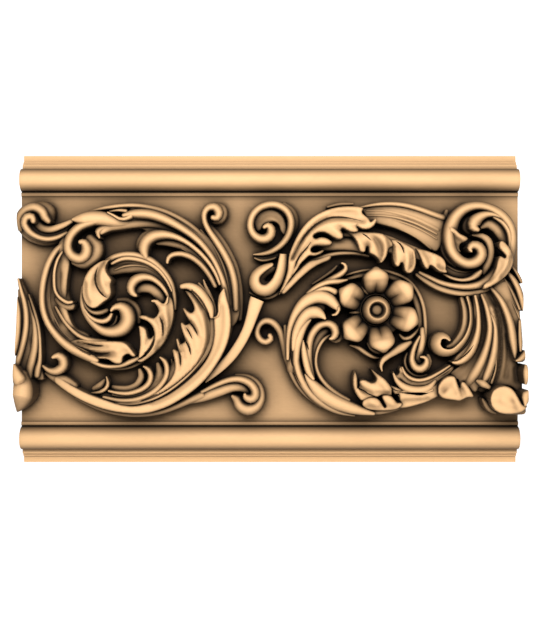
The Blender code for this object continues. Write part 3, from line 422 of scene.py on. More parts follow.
# %% Great acanthus leaf
BIG_LEAF = """
leaf rim roll | roll | 10 14 16 18 19 20 | -194 -89 1, -180 -95.5 1.8, -165 -101 2.2, -148 -104.5 2.5,
-130 -105.3 2.7, -111 -102.8 3, -96 -98 3.2, -82 -92 3.6, -68 -86 4;
leaf stem lip | roll | 29 31 32 33 | -56 -8.8 0.9, -52.5 -7.8 1.4, -50.3 -3 1.7, -50.2 5 1.8, -49 13 1.9,
-46 19.5 1;
leaf side reed | roll | 12 15 16 14 | -37 8 1, -37 -5 1.4, -38.5 -19 1.5, -42 -32 1.5, -47 -44 1.2;
strut | flat | 20 25 27 27 | -64 -73 0.9, -58 -66.5 3, -50 -59 4.3, -40 -49 4.8, -32.5 -39 5, -26.5 -29 5,
-21.5 -18 5.1, -17.5 -6 5.9, -14 6 7.2, -12.5 10 7.4;
midrib | roll | 20 25 26 25 24 22 | -57.5 -8 1.1, -58 -22 1.4, -61.3 -36 1.5, -67.3 -49 1.6, -76 -60.5 1.6,
-88 -72 1.6, -102 -82.5 1.6, -118 -90.7 1.6, -136 -95.3 1.5, -156 -94.5 1.1;
midrib twin | roll | 22 23 22 | -160 -95.5 1, -147 -97.2 1.3, -131 -97.8 1.5, -114 -94.7 1.5, -100 -88.5 1.2;
lobe one | swell | 32 34 34 32 30 | -88 22.5 2.5, -81 23 3.6, -73 19 5, -66 10.5 5.5, -60.5 1 5, -58 -8 2;
lobe one spike | roll | 24 26 27 26 | -66.3 29 0.7, -63.8 22.5 1.4, -60 14.5 1.8, -56.5 6 2, -54 -2.5 1.8;
lobe one cheek | swell | 26 28 28 26 | -71 25.5 1.2, -66.5 18.5 2.6, -61.5 9.5 3, -57.5 0.5 2.6, -56 -5 1.4;
lobe five reed | roll | 17 20 20 | -98 -50.5 0.9, -97.7 -58 1.4, -100 -67.5 1.6, -106 -76.5 1.6;
lobe six | roll | 22 25 25 24 23 22 | -109.5 -48.5 1, -105.3 -52 2.3, -102.8 -59 2.8, -103.8 -68 3,
-110 -77.5 3.2, -120 -85.3 3.1, -134 -90.7 2.9, -150 -91.7 2.7, -166 -88.5 2;
lobe six reed | roll | 16 19 19 18 | -111.5 -59 0.9, -112.3 -68 1.8, -118 -77.5 2.2, -128 -84.5 2.2,
-143 -87.5 1.8, -157 -86 1.2;
lobe seven | roll | 21 24 24 23 20 | -126 -57.5 1, -121.5 -60.5 2.4, -119 -67 2.9, -121.3 -74.7 3,
-129 -80.8 2.8, -141 -84.4 2.4, -152 -84 1.9, -161 -82 1.2;
lobe eight | swell | 15 17 17 14 | -130 -61 2, -128.5 -68 3.4, -133 -76 3.5, -142 -80 3.5, -152 -79.5 3,
-157 -78 2;
leaf bed | swell | 14 17 21 24 25 24 | -168 -86 3, -150 -89 5, -130 -87.5 7, -113 -79 8.5, -99 -68.5 9,
-88 -55 8.5, -80 -40 8, -76 -24 7, -75 -10 5;
leaf nail | roll | 16 20 20 16 | -163.3 -68 0.8, -161.8 -74 1.8, -164 -79.5 2.1, -170.5 -83.3 1.8, -178 -84 1;
leaf nail bed | swell | 12 14 12 | -165 -71 1.5, -169.5 -76.5 3.6, -176 -80 2.5;
foot lip | roll | 20 24 26 29 31 | -68 -83 1.8, -53 -75.6 2.6, -40.5 -71 3, -30 -70.3 3.5, -20.5 -74 4.1,
-15 -81 4.6, -15.3 -87.5 5, -19.5 -90 4.6, -24 -88 3.2, -25 -85.6 1.6;
foot ring | roll | 14 18 22 25 25 20 | -34 -66 1.2, -23 -67.3 2.2, -14 -72.5 2.8, -9 -80.5 3.2, -8.8 -90 4,
-13.7 -97.5 5.4, -22 -100.3 6.2, -29.5 -97 5.4, -33.5 -90.5 4, -37 -87.5 2;
foot band | swell | 16 19 20 18 | -84 -93 2.5, -68 -88 5, -52 -82.5 5.5, -39 -78.5 5, -29 -78.5 4.2,
-22.5 -82.5 2.5;
stem bed | swell | 14 18 22 22 21 18 14 | -57 -6 2, -58 -25 3.5, -64 -44 4, -76 -62 4, -92 -77 4, -112 -90 4,
-135 -96.5 4, -158 -96 3;
lobe six bed | swell | 15 18 19 18 | -112 -55 2, -110 -66 5, -118 -78 5.5, -136 -86 4.5;
"""
carve(BIG_LEAF)

# %% [markdown]
# ## Leaves at the left cut
#
# Long narrow leaves fall past the left end and are cut through by it. They run on beyond the cut, and the
# box that squares the ends takes them off later.

# %% Leaves at the left cut
LEFT_FALL = """
fall one | roll | 17 21 24 28 30 | -254 14 1.5, -252 0 3.4, -252 -15 4, -253.5 -29 4.2, -256.5 -42 4,
-260 -52 3;
fall two | roll | 18 20 22 24 26 | -251.5 30 1, -248.5 18 2, -245.7 8 2.6, -243.8 -4 3.1, -243.8 -17 3.4,
-246 -30 3.6, -249.5 -43 3.6, -253 -55 3;
fall three | roll | 14 18 21 23 22 | -241.5 8 1, -239 -3 1.8, -236 -13 2.8, -234.5 -26 3.7, -235 -39 4.2,
-237.5 -51 4.6, -240 -61 4.4, -240 -68 2.6;
fall four | roll | 13 17 20 22 23 | -241 14 1.1, -236.5 1 1.7, -232.7 -12 1.9, -230.5 -25 1.9, -229.7 -39 1.9,
-230 -51 2.5, -232 -60 3.5, -233 -66.5 3;
fall bed | swell | 12 14 15 16 | -250 26 3, -244 4 7, -242 -18 11, -244 -42 13, -246 -62 10;
fall heel | swell | 34 37 38 30 | -256 -57 2.5, -254 -64 5.5, -250 -72 7, -245 -78 4;
fall pod | swell | 30 36 38 30 18 | -248 -66 6, -248 -76 11, -249 -87 12, -251 -96 7, -254 -103 1.2;
fall fern | roll | 20 24 26 28 | -227 -57 1.3, -221 -61.3 2.7, -213.5 -62 4.4, -207 -57.5 5.2, -207 -50.5 5.2,
-212 -46.7 3.8, -217 -48.3 1.8;
fall calyx | swell | 14 17 18 | -224 -64 1.5, -216 -68 4, -206 -72 6, -196 -78 5;
"""
carve(LEFT_FALL)

# %% [markdown]
# ## Knot and upper spiral
#
# In the middle the stalks are tied in a looped knot, and a bare tendril winds up into an open spiral. The
# spiral is one long stroke whose roll thickens to a ball in the eye.

# %% Knot and upper spiral
KNOT = """
spiral | roll | 14 22 25 26 26 27 28 30 31 | -16 54.5 0.8, -7 55.2 1.9, 2 57.8 2.7, 11 63.7 3.2, 17.8 72 3.5,
21.2 81.5 3.7, 20.8 91 3.7, 16 99.2 3.7, 7.5 104 3.7, -2 104.3 3.7, -11.2 100.5 3.7, -17.5 93 3.7,
-19.5 83.5 3.7, -16.7 75.5 3.9, -10.5 70.8 4.3, -3.5 70.7 4.8, 1 75 5, 1 80.6 4.4, -2 83.5 3.3, -5.5 82 2;
spiral back | dome | 9 10 10 9 | 2 60 1.5, 14 66.5 3.2, 22 77 4, 25.3 88 4, 22 98 3.4, 14 105 2;
spiral stem | roll | 12 14 15 13 | -9.5 84 1, -8.3 92 1.7, -2.5 96.5 2.3, 6 97.3 2.6, 13 93.5 1.8;
spiral fold | swell | 14 16 14 | -6 88.5 1.2, 0 92 3, 8 92 2.8, 13 88 1.5;
tail reed | roll | 12 14 14 | -15 51 0.8, -8 48.5 1.3, 0 49.3 1.3, 6 51.5 1;
tail bed | swell | 10 10 10 | -15 51.5 1.2, -8 50 4, 0 51 4, 7 54 3;
knot | lip_right | 29 30 30 28 24 | 13.7 55 3.8, 13 46 5, 10.8 36 5.3, 6 26 5.6, -2 19 5.9, -10.5 19.5 6,
-15.3 26 5.6, -14 34 4.8, -7.5 40 4, 2 44.5 2;
knot collar | roll | 12 15 15 14 | -20 16.5 1, -12 12.3 1.6, -3 11.3 1.9, 5 13.8 1.7, 12 20 1.4, 17 29 1.2,
19.5 42 1;
knot eye | slope_right | 22 20 18 | 3 40 3, -5 36 4, -9 29 4, -5 24.5 3.4, 0 26 2;
"""
carve(KNOT)

# %% [markdown]
# ## Canopy leaf and ribbon
#
# A broad leaf arches over the flower like a canopy, its underside fringed with drooping lobes. Behind it
# runs a reeded ribbon: close parallel reeds laid on a low field.

# %% Canopy leaf and ribbon
CANOPY = """
canopy inside | swell | 16 20 22 21 | 50 61 2.5, 58 62.5 4.6, 67 64.5 6.6, 77 65 7, 85.5 63 5.5, 91 59 2.5;
canopy edge | roll | 20 20 20 18 | 27 35 2, 36 44 2.4, 46 49.5 2.4, 56 53 2.2, 66 55.3 2, 76 56 1.8,
88 55.5 1.6, 99 53 1.2;
fringe spine | swell | 22 24 24 22 | 74 75 2.4, 92 75 4.4, 112 69 6, 132 61 6, 152 53 5, 168 47.5 3;
ribbon rim | roll | 20 22 22 21 20 | 90 101.6 0.8, 105 104.3 1.8, 120 105.2 2.2, 135 103.8 2.5, 150 99.8 2.8,
163 95 3, 173.5 91.2 3;
ribbon reed a | roll | 18 19 18 | 97 98.6 1.2, 112 98.4 2, 130 95.2 2.6, 146 90 2.8, 159 84 2.8, 168.5 79 2.6;
ribbon reed b | roll | 18 19 18 | 97 93.3 0.9, 112 93.3 1.3, 128 91.2 1.5, 144 86.3 1.6, 157 80.3 1.7,
167 75 1.5;
ribbon reed c | roll | 17 18 17 | 98 90.8 0.8, 112 90.4 1, 128 88 1.2, 144 82.7 1.3, 157 76.2 1.3, 167 70 1.2;
ribbon reed d | roll | 16 17 16 | 106 86.4 0.8, 120 83.4 1.2, 135 78 1.4, 149 70.3 1.5, 161 60.5 1.5;
ribbon reed e | roll | 14 15 14 | 112 84 0.7, 127 80.5 0.9, 140 75.3 1, 152 67.8 1.1, 162 59.5 1;
canopy behind | roll | 16 18 16 | 58 102 1.2, 70 104.6 1.8, 83 105 1.4;
"""
carve(CANOPY)

# %% [markdown]
# ## Great volute, upper right
#
# The strongest form on the right is a volute like a snail shell. Its main roll starts as a thin keel,
# fattens to twelve millimetres and winds in, while leaf tips break out of it.

# %% Great volute, upper right
BIG_VOLUTE = """
orb spiral | roll | 20 24 27 29 28 28 30 33 35 37 38 | 150 36.5 1.6, 160 31.5 2.2, 171 26.5 2.5, 184 23.3 2.8,
198 22.5 3.3, 211 25 4.2, 222 31 5.8, 231.5 40 7.4, 238 51 6.4, 242.3 63 4.6, 243 75 4, 239.5 85.5 4.4,
231.5 94.5 4.8, 220 100.8 4.6, 207 103.3 4.6, 195 100.4 5.4, 186 92.5 6.2, 181 81.5 7, 179.5 70 6.4,
182 58.5 5.6, 189 49.7 5.2, 198.5 45.6 5.2, 207.5 48 5.8, 212 55 5.5, 209.5 62 5, 203.5 64 4.4, 200.2 60.6 3.2,
201.6 57.8 1.3;
orb outer wall | swell | 12 14 14 12 | 177 98 2, 174.5 88 3, 172.5 76 3.4, 173 63 3.4, 178 51 3, 186 43 2;
orb leaf | roll | 26 30 33 33 | 233 91 1.2, 223 94.8 2.4, 213 93.7 4.4, 205.3 88 6.6, 204 82 5.6, 208 79.3 2.4;
orb leaf shade | swell | 16 17 15 | 205 93 2, 198.5 88 4, 197 81 4.5, 200 77 3;
orb bowl | swell | 20 22 22 20 | 211.5 81.5 1.6, 218.5 85 4.8, 226 81.5 5.4, 231.5 74.5 5.4, 235 67 4.4;
orb edge inner | roll | 26 28 28 | 224 92 1.2, 233 86.5 2.6, 239 77.5 2.8, 240.5 67 2.6, 239 60 1.4;
orb second ring | swell | 22 26 26 24 20 | 203 74 1.2, 211.5 73 2.8, 218.3 68.3 3.8, 221 59 3.6, 219.6 49 3.8,
215.8 40.8 3.6, 214 36 2;
orb cradle | roll | 20 23 25 26 | 174 35 0.9, 182.5 30.7 1.6, 192.5 28.8 1.9, 201.5 30.5 2.6, 207.5 34.3 3.4,
211 37.8 2;
orb cradle bed | swell | 12 13 12 | 172 44 3, 182 37.5 5, 194 35.5 6, 206 38 5;
orb cradle reed | roll | 14 15 14 | 177 43.3 0.8, 186 38.6 1, 196 37 1, 205 38.3 0.8;
orb keel | swell | 17 20 20 18 | 147 34.5 1.8, 158 27.3 3, 170 21 3.2, 184 17 3.1, 198 15.7 2.9, 211 17.8 2.7,
223 22.8 2.3, 234 29.5 1.4;
"""
carve(BIG_VOLUTE)

# %% [markdown]
# ## Draped leaves at the right cut
#
# Under the volute hang long folded leaves, like drapery, over shell-like bulbs. Folds alternate between
# high rolls and low reeds, on a wide bed, and the outer ones are taken off by the cut.

# %% Draped leaves at the right cut
RIGHT_FALL = """
drape bed | swell | 12 14 15 16 16 | 212 20 10, 220 0 16, 224 -22 18, 222 -45 18, 218 -66 14, 212 -76 8;
drape a | swell | 16 19 20 20 | 192 11.5 2, 195.3 0 3, 195.7 -11 3.2, 194 -21 3.5, 189.5 -30 3.8,
183.5 -36 3.2, 178 -38 1.8;
drape b | slope_right | 22 26 27 28 29 | 198 12 1.4, 201.3 1 1.8, 202 -12 2, 199.7 -22 2.1, 196 -30 2.4,
190.5 -37 2.8, 184 -42.5 3.2, 176.5 -44 3.8, 169 -41.5 5, 165.5 -35 5.6, 168 -28.5 5, 173 -26.5 3.4,
178 -28.5 2, 180 -31 1.2;
drape b curl back | swell | 12 14 12 | 172 -25 2.5, 163.5 -29 3.4, 161.5 -36 3.6, 166 -43 3;
drape c | roll | 18 20 20 19 | 203.5 12 0.8, 204.5 0 1, 204.3 -14 1, 201.8 -26 1.1, 196.8 -35 1.1, 189 -43.5 1;
drape d | roll | 25 28 29 30 29 | 205.5 13 1.4, 207.7 2 2, 208.7 -9 2.3, 208.3 -21 2.9, 205.3 -33 3.9,
200.3 -43.5 4.4, 193.5 -50.8 3.8, 187 -53.7 2.2, 183 -53.3 1;
drape d fold | roll | 20 22 22 | 204 -36 0.9, 198.5 -43.5 1.4, 191.5 -49 1.3, 185.5 -51 0.9;
drape f | roll | 21 25 26 26 25 22 | 212 14 1.6, 216 4 2.3, 219 -8 2.9, 220.3 -20 3.3, 218.5 -34 4.2,
214 -48 5.2, 208 -60 6, 201.5 -70 6, 196 -77 3.6;
drape g | roll | 23 26 28 27 26 | 221.3 -6 1.2, 225 -16 2.1, 225.7 -28 3, 224.5 -42 3.9, 221.5 -55 4.5,
217.5 -66 4.5, 214.5 -72 2.6;
drape h | roll | 24 26 25 | 226.5 -50 0.9, 225 -62 1.6, 221.7 -74 1.5;
drape k | roll | 22 26 27 27 26 | 221.5 21 1.5, 227.5 14 2.6, 232.7 6 3.1, 237.5 -5 3.6, 241 -17 4.1,
243 -30 4.3, 244.8 -42 3, 245.5 -49 0.9;
drape l | roll | 14 17 18 17 | 230 27 0.8, 236 18 0.9, 242 8 1, 247 -3 1, 250.5 -12 0.9;
drape m | roll | 18 21 21 | 234 31.5 1, 240 22 1.6, 245.5 11 1.9, 250 0 1.6;
drape n | roll | 22 26 26 22 | 237.5 37 1.3, 243 30.5 2.6, 248 21.5 3.1, 251.5 11 3, 254 0 2.6;
drape o | roll | 18 20 20 | 242 43 0.9, 247 36 1.6, 251.5 27 1.7;
drape p | roll | 20 22 24 26 | 250 -12 1.4, 250 -24 2.2, 250.5 -34 2.4, 251 -42 1.4;
drape hem | roll | 26 31 32 | 259 -36 1.5, 256.5 -44 3.6, 251 -50.3 3.2, 246.8 -51.7 1.1;
drape bead | swell | 38 41 41 38 | 256 -57 1.6, 257 -62 4, 257.3 -69 3.8, 256 -74.3 1.6;
shell right ear | swell | 42 44 42 | 262 -82.5 1.5, 257 -86 5, 256 -92 3.2, 255.5 -96.5 0.9;
shell right foot | roll | 18 22 22 18 | 213 -90.5 1.3, 216.5 -95.5 3, 220.5 -100.5 3, 226 -104 1.2;
shell right hinge | swell | 24 28 28 | 207.5 -72 1.8, 213 -74.5 3.8, 219.5 -78.5 2;
shell right toe | dome | 36 37 34 | 238 -98.5 7.2, 247 -100.5 5.4, 253 -101.5 4;
"""
carve(RIGHT_FALL)

# %% [markdown]
# ## Cradle and bud under the flower
#
# Below the flower a bud stands in a cradle of nested bowls. The bowls are strokes that follow one another
# closely, with a dark slot left between some of them.

# %% Cradle and bud under the flower
CRADLE = """
bowl a | swell | 24 27 28 27 24 | 123.7 -64.5 0.9, 127 -71.5 2.4, 133.3 -77.3 3.6, 142 -80.7 4.1, 152 -81 4.1,
160 -78 3.4, 165.5 -72 1.8;
bowl b | roll | 23 26 26 24 | 132.5 -58.5 0.9, 135.5 -65 1.7, 141.7 -69.7 2, 150 -71.3 2, 160 -68.8 1.9,
171 -62.8 1.6, 180 -56.8 1;
bowl b reed | roll | 22 23 22 | 150 -74.7 1, 161 -72 1.2, 172 -65.7 1.2, 182 -58.7 0.9;
bowl c | roll | 16 19 19 17 | 137.5 -44 0.9, 135.3 -52 1.3, 137.3 -60 1.4, 143 -65.6 1.4, 150 -67.3 1.3,
157 -66 1;
crook | roll | 24 28 29 30 30 | 150 -27.5 1.2, 145.6 -36 2.2, 142.8 -45 2.6, 142.5 -52 3.2, 145.8 -58.3 3.9,
151.5 -59.6 4.3, 156 -56 3.6, 157 -51 2.6, 154.5 -48.3 1.7, 151 -48 0.9;
crook band | swell | 22 24 24 22 | 152.5 -20 2.2, 152.5 -31 3, 150.5 -41 3.2, 147.7 -50 3;
crook rim | swell | 16 18 18 16 | 158 -46.5 1.8, 160 -52.5 2.2, 157.5 -59 2.2, 151.5 -63 2, 145 -62.5 1.5;
sling lip | roll | 24 26 26 | 127 -84 0.9, 140 -84.6 1.3, 154 -84 1.4, 163 -80.8 1;
sling lower lip | roll | 24 25 24 | 129 -86.6 0.9, 142 -87.6 1.4, 154 -88 1.4, 163 -84.5 1;
sling thorn | roll | 24 26 24 | 121.5 -77.5 0.9, 126 -79.7 1.6, 132 -81.5 1.5;
cup base | swell | 18 21 21 18 | 94 -101 2, 104 -102.5 3, 116 -101 3.4, 128 -97 4;
spike | swell | 22 26 27 25 | 141 -33.5 2, 134 -37.5 4, 125.5 -42.3 3.8, 118 -47 3.2, 113 -52 2.4,
111.2 -57 1.6, 112.3 -62 0.8;
crook bowl | swell | 20 22 21 | 149.5 -42 3, 148.6 -48 3.4, 149.5 -52.5 3;
"""
carve(CRADLE)

# %% [markdown]
# ## Hoop round the flower
#
# A thin double hoop frames the flower, and small leaves show between its petals.

# %% Hoop round the flower
FLOWER_RING = """
hoop outer | roll | 18 20 20 20 20 | 76 34 1, 92 38.2 1.3, 108 39 1.4, 123 36.2 1.5, 137 29.7 1.6,
147 18.7 1.8, 153 5 2, 155.3 -10 2, 155.3 -24 2, 153.3 -38 2, 151 -46 1.4;
hoop inner | swell | 16 17 17 17 | 77 30 1.4, 92 33.6 2, 108 34.4 2.2, 121.5 31.6 2.3, 133.5 25.3 2.6,
142.5 15.7 3, 148 3 3.3, 150 -10 3.2, 150.5 -23 2.2;
underleaf right | roll | 18 22 22 18 | 130 -25.5 0.9, 134 -29.5 2, 140 -28.7 2.1, 146 -23.5 1.6, 149 -19.5 0.8;
underleaf bottom | roll | 16 19 19 16 | 98 -34 0.9, 101.5 -39.7 2, 108.5 -43 2.3, 117 -42.5 1.3;
underleaf left | roll | 16 20 20 16 | 80.5 -36.3 0.8, 88.5 -38.8 2, 96.5 -44.3 2.2, 104 -48.3 1.6,
109.5 -49 0.8;
sepal left | roll | 16 20 16 | 91 -3.5 1, 85 -3.6 1.6, 80 -3.8 0.8;
sepal upper left | roll | 18 22 18 | 98 15 1, 95 18 1.6, 92 22 0.8;
sepal upper right | roll | 18 22 18 | 117 16 1, 119.5 20 1.3, 121 24 0.8;
sepal right | roll | 16 20 16 | 125 1.5 0.9, 130 1.8 1.4, 134 1.8 0.8;
hoop reed one | roll | 15 16 16 15 | 84 34.2 0.8, 100 37 0.9, 116 35.6 1, 130 30.3 1, 141 20.5 1.1, 149 7 1.2,
152.3 -8 1.2, 152.8 -24 1;
"""
carve(FLOWER_RING)

# %% [markdown]
# ## Leaf scroll left of the flower
#
# A C-shaped leaf scroll holds the flower from the left: lobes lap over its outer side, and its upper end
# curls inwards. A small bracket curl springs from its back.

# %% Leaf scroll left of the flower
LEFT_C = """
bracket curl | roll | 12 17 20 21 22 23 | 29 -77 1.2, 22.5 -64.5 2.6, 17 -49 3.4, 13.7 -34 3.6, 9.8 -21.5 3.6,
3.3 -13.8 3.6, -4 -11.8 3.4, -10.3 -15.6 3, -12.8 -23 3, -10 -30 3.2, -4 -33 3.2, 0.8 -30 3.4, 0 -26.5 2.6;
bracket web | swell | 16 18 19 18 | 30 -74 1.4, 22.5 -58 2.8, 18.5 -42 3.4, 17 -28 3.2, 15.5 -17 1.8;
c outer lobe | swell | 24 29 32 33 33 | 18 -50 1.5, 18.7 -32 2.3, 21 -17 3.3, 26.5 -4 4.6, 35 6.3 6.2, 46 12 7,
57 11 6.8, 65 4.5 5, 68.5 -1 2.6, 66.7 -4.3 1.2;
c outer claw | roll | 32 34 34 | 63 -6 1, 66.5 -5 1.6, 69 -1 1.4, 69 1.5 0.9;
c top lobe | roll | 28 30 30 28 | 38 15.5 1.8, 48 22.5 2.8, 59 26.7 3.1, 70 27.7 2.6, 77.3 29 1;
c top lobe low | swell | 29 31 31 | 44 16.5 1.8, 53 20 2.6, 60 19.6 2.8, 65.5 17 3.2;
c top spur | roll | 26 29 30 30 | 54 27 1.6, 64 31 3, 71.5 35.3 3, 76 40.3 2.2, 75 44.5 1.6, 72 46 0.8;
c spur shadow | roll | 10 12 12 | 43 25 1, 54 32 1.5, 63 38.5 1.6, 67 43 1;
c middle lobe | swell | 28 32 33 32 | 23.5 -40 3, 25.5 -26 4, 30.5 -13.5 4.8, 38 -4.7 6, 46 -3.2 6.4,
52 -6.2 4, 55.3 -9.5 1.3;
c third lobe | swell | 26 30 30 29 | 26.5 -52 3.4, 27.5 -37 4, 31 -24 4, 35.5 -15.3 3.3, 40.7 -10.8 1.1;
c outer reed | roll | 16 19 19 14 | 17.5 -50 2.8, 21.5 -63.5 2.7, 28.3 -76.3 2.4, 38.3 -87.7 2, 51 -97.5 1.3;
c second reed | roll | 26 27 27 26 24 20 | 26.3 -44 4, 26.7 -54 4.2, 29.5 -65.5 4.4, 36 -78 4.4, 45.7 -89 4.1,
57.5 -97.3 3.5, 70 -103 2.6, 84.5 -106.3 1.2;
c blade | swell | 27 29 29 28 | 33.3 -31.5 0.8, 34 -40 2.7, 36 -52 3.4, 39 -63 3.1, 43.5 -70 1.6;
c belly | swell | 26 29 29 28 24 | 35.5 -65.5 0.9, 41 -73.3 4.4, 51 -83.7 6.8, 64 -92.3 7.2, 78 -98 6.2,
92 -102 4.2, 104 -104.5 1.8;
c inner curl | roll | 24 27 29 30 31 31 | 43.5 -68 1.6, 40.3 -57 2.8, 39 -45 3.4, 39.8 -33 3.8, 43 -24 3.9,
49.5 -16.8 3.8, 57 -14.5 3.8, 63.5 -17.3 4.3, 66 -23.5 4.4, 63.5 -28.5 3, 60.5 -29.8 1.4;
c curl chin | roll | 16 18 17 | 71 -23 1.6, 71 -29 2.3, 66 -32 2.2, 61 -30.7 1.2;
c channel | swell | 18 20 20 18 | 55 -75 2, 47 -62 3, 44.7 -48 3.4, 46.5 -35 4.6, 51.5 -25.5 5, 57 -21 3.6;
c lip | roll | 22 23 23 24 24 | 60.5 -26 0.9, 54 -30.5 1.7, 48.8 -38.5 1.8, 46.2 -48 1.7, 46.5 -58 1.8,
50.5 -68.3 2.2, 58 -78 2.8, 68 -86 3, 79 -91.5 2;
c bed | swell | 20 23 25 25 24 | 24 -60 7, 25 -40 7.5, 30 -20 8, 39 -3 8, 50 3 7;
"""
carve(LEFT_C)

# %% [markdown]
# ## Leaf surfaces
#
# A broad acanthus leaf is not a bundle of rolls: it is one skin that swells into ridges, dips between them
# and ends in a scalloped edge. So each broad leaf is given by its outline, as seen from the front, and by a
# few lines of known height along its ridges and hollows. The outline is filled with small triangles and
# every point takes a height from the lines round it, the near ones counting most. At the outline the skin
# rolls over and drops to the ground.

# %% Distance to an outline
SHEET_STEP = 1.5
ROW_SHARE = 0.87
EDGE_ROUND = 2.6
EDGE_FALL = 0.9
EDGE_RINGS = (0.4, 1.0, 1.8)
RING_ROOM = 0.9
RIDGE_SOFTNESS = 0.8
RIDGE_PULL = 1.5
LEVEL_RUN = 1e-9
POINT_MARGIN = 1e-5
FILL_INSIDE = 1


def edge_distance(spots, edge):
    """How far each spot lies inside a closed outline; spots outside get a negative number."""
    run = np.roll(edge, -1, axis=0) - edge
    away = spots[:, None, :] - edge[None, :, :]
    along = np.clip((away * run).sum(axis=2) / (run ** 2).sum(axis=1), 0.0, 1.0)
    gaps = away - along[:, :, None] * run[None, :, :]
    distance = np.sqrt((gaps ** 2).sum(axis=2)).min(axis=1)
    x, z = spots[:, :1], spots[:, 1:]
    above_start = edge[None, :, 1] > z
    above_end = (edge + run)[None, :, 1] > z
    rise = np.where(np.abs(run[:, 1]) < LEVEL_RUN, LEVEL_RUN, run[:, 1])
    crossing = edge[:, 0] + (z - edge[:, 1]) * run[:, 0] / rise
    inside = ((above_start != above_end) & (x < crossing)).sum(axis=1) % 2 == 1
    return np.where(inside, distance, -distance)


# %% Points of a leaf and their heights
def leaf_spots(edge):
    """Points inside an outline: a few rings that follow the edge, and an even grid for the rest."""
    ahead = np.roll(edge, -1, axis=0)
    turn = ahead - np.roll(edge, 1, axis=0)
    length = np.maximum(np.linalg.norm(turn, axis=1), LEVEL_RUN)
    inward = np.column_stack([-turn[:, 1], turn[:, 0]]) / length[:, None]
    area = (edge[:, 0] * ahead[:, 1] - ahead[:, 0] * edge[:, 1]).sum()
    inward *= math.copysign(1.0, area)
    kept = []
    for ring in EDGE_RINGS:
        spots = edge + inward * ring
        kept.append(spots[edge_distance(spots, edge) > RING_ROOM * ring])
    low, high = edge.min(axis=0), edge.max(axis=0)
    columns = np.arange(low[0], high[0], SHEET_STEP)
    rows = np.arange(low[1], high[1], SHEET_STEP * ROW_SHARE)
    grid = [(x + 0.5 * SHEET_STEP * (number % 2), z) for number, z in enumerate(rows) for x in columns]
    spots = np.array(grid)
    kept.append(spots[edge_distance(spots, edge) > EDGE_RINGS[-1] + 0.5 * SHEET_STEP])
    return np.concatenate(kept)


def leaf_heights(spots, lines, edge):
    """Heights weighed from the ridge and hollow lines, rolled over at the edge."""
    marks = np.array([row[:3] for line in lines for row in smooth_line(line, SHEET_STEP)])
    gaps = spots[:, None, :] - marks[None, :, :2]
    weight = 1.0 / ((gaps ** 2).sum(axis=2) + RIDGE_SOFTNESS) ** RIDGE_PULL
    height = (weight * marks[:, 2]).sum(axis=1) / weight.sum(axis=1)
    near = np.clip(1.0 - np.abs(edge_distance(spots, edge)) / EDGE_ROUND, 0.0, 1.0)
    return height - EDGE_FALL * EDGE_ROUND * (1.0 - np.sqrt(1.0 - near ** 2))


# %% A leaf as a closed body
def leaf_sheet(name, outline, lines):
    """Fill an outline with triangles at the leaf's heights and close it down to the ground."""
    edge = np.array([row[:2] for row in smooth_line([*outline, outline[0]], SHEET_STEP)][:-1])
    spots = np.concatenate([edge, leaf_spots(edge)])
    loop = [(index, (index + 1) % len(edge)) for index in range(len(edge))]
    filled = delaunay_2d_cdt([Vector(spot) for spot in spots], loop, [], FILL_INSIDE, POINT_MARGIN)
    flat, faces = filled[0], filled[2]
    heights = leaf_heights(np.array([spot[:] for spot in flat]), lines, edge)
    shape = bmesh.new()
    top = [shape.verts.new(place(spot[0], spot[1], height)) for spot, height in zip(flat, heights)]
    bottom = [shape.verts.new((vertex.co.x, FOOT, vertex.co.z)) for vertex in top]
    border = {}
    for face in faces:
        shape.faces.new([top[index] for index in face])
        shape.faces.new([bottom[index] for index in reversed(face)])
        for first, second in zip(face, [*face[1:], face[0]]):
            border[first, second] = (second, first) not in border
            if not border[first, second]:
                del border[first, second], border[second, first]
    for first, second in border:
        shape.faces.new((top[second], top[first], bottom[first], bottom[second]))
    loose = [vertex for vertex in shape.verts if not vertex.link_faces]
    bmesh.ops.delete(shape, geom=loose, context="VERTS")
    bmesh.ops.recalc_face_normals(shape, faces=shape.faces)
    mesh = mesh_from(shape, name)
    add_item(name, mesh, carving)
    return triangles(mesh)


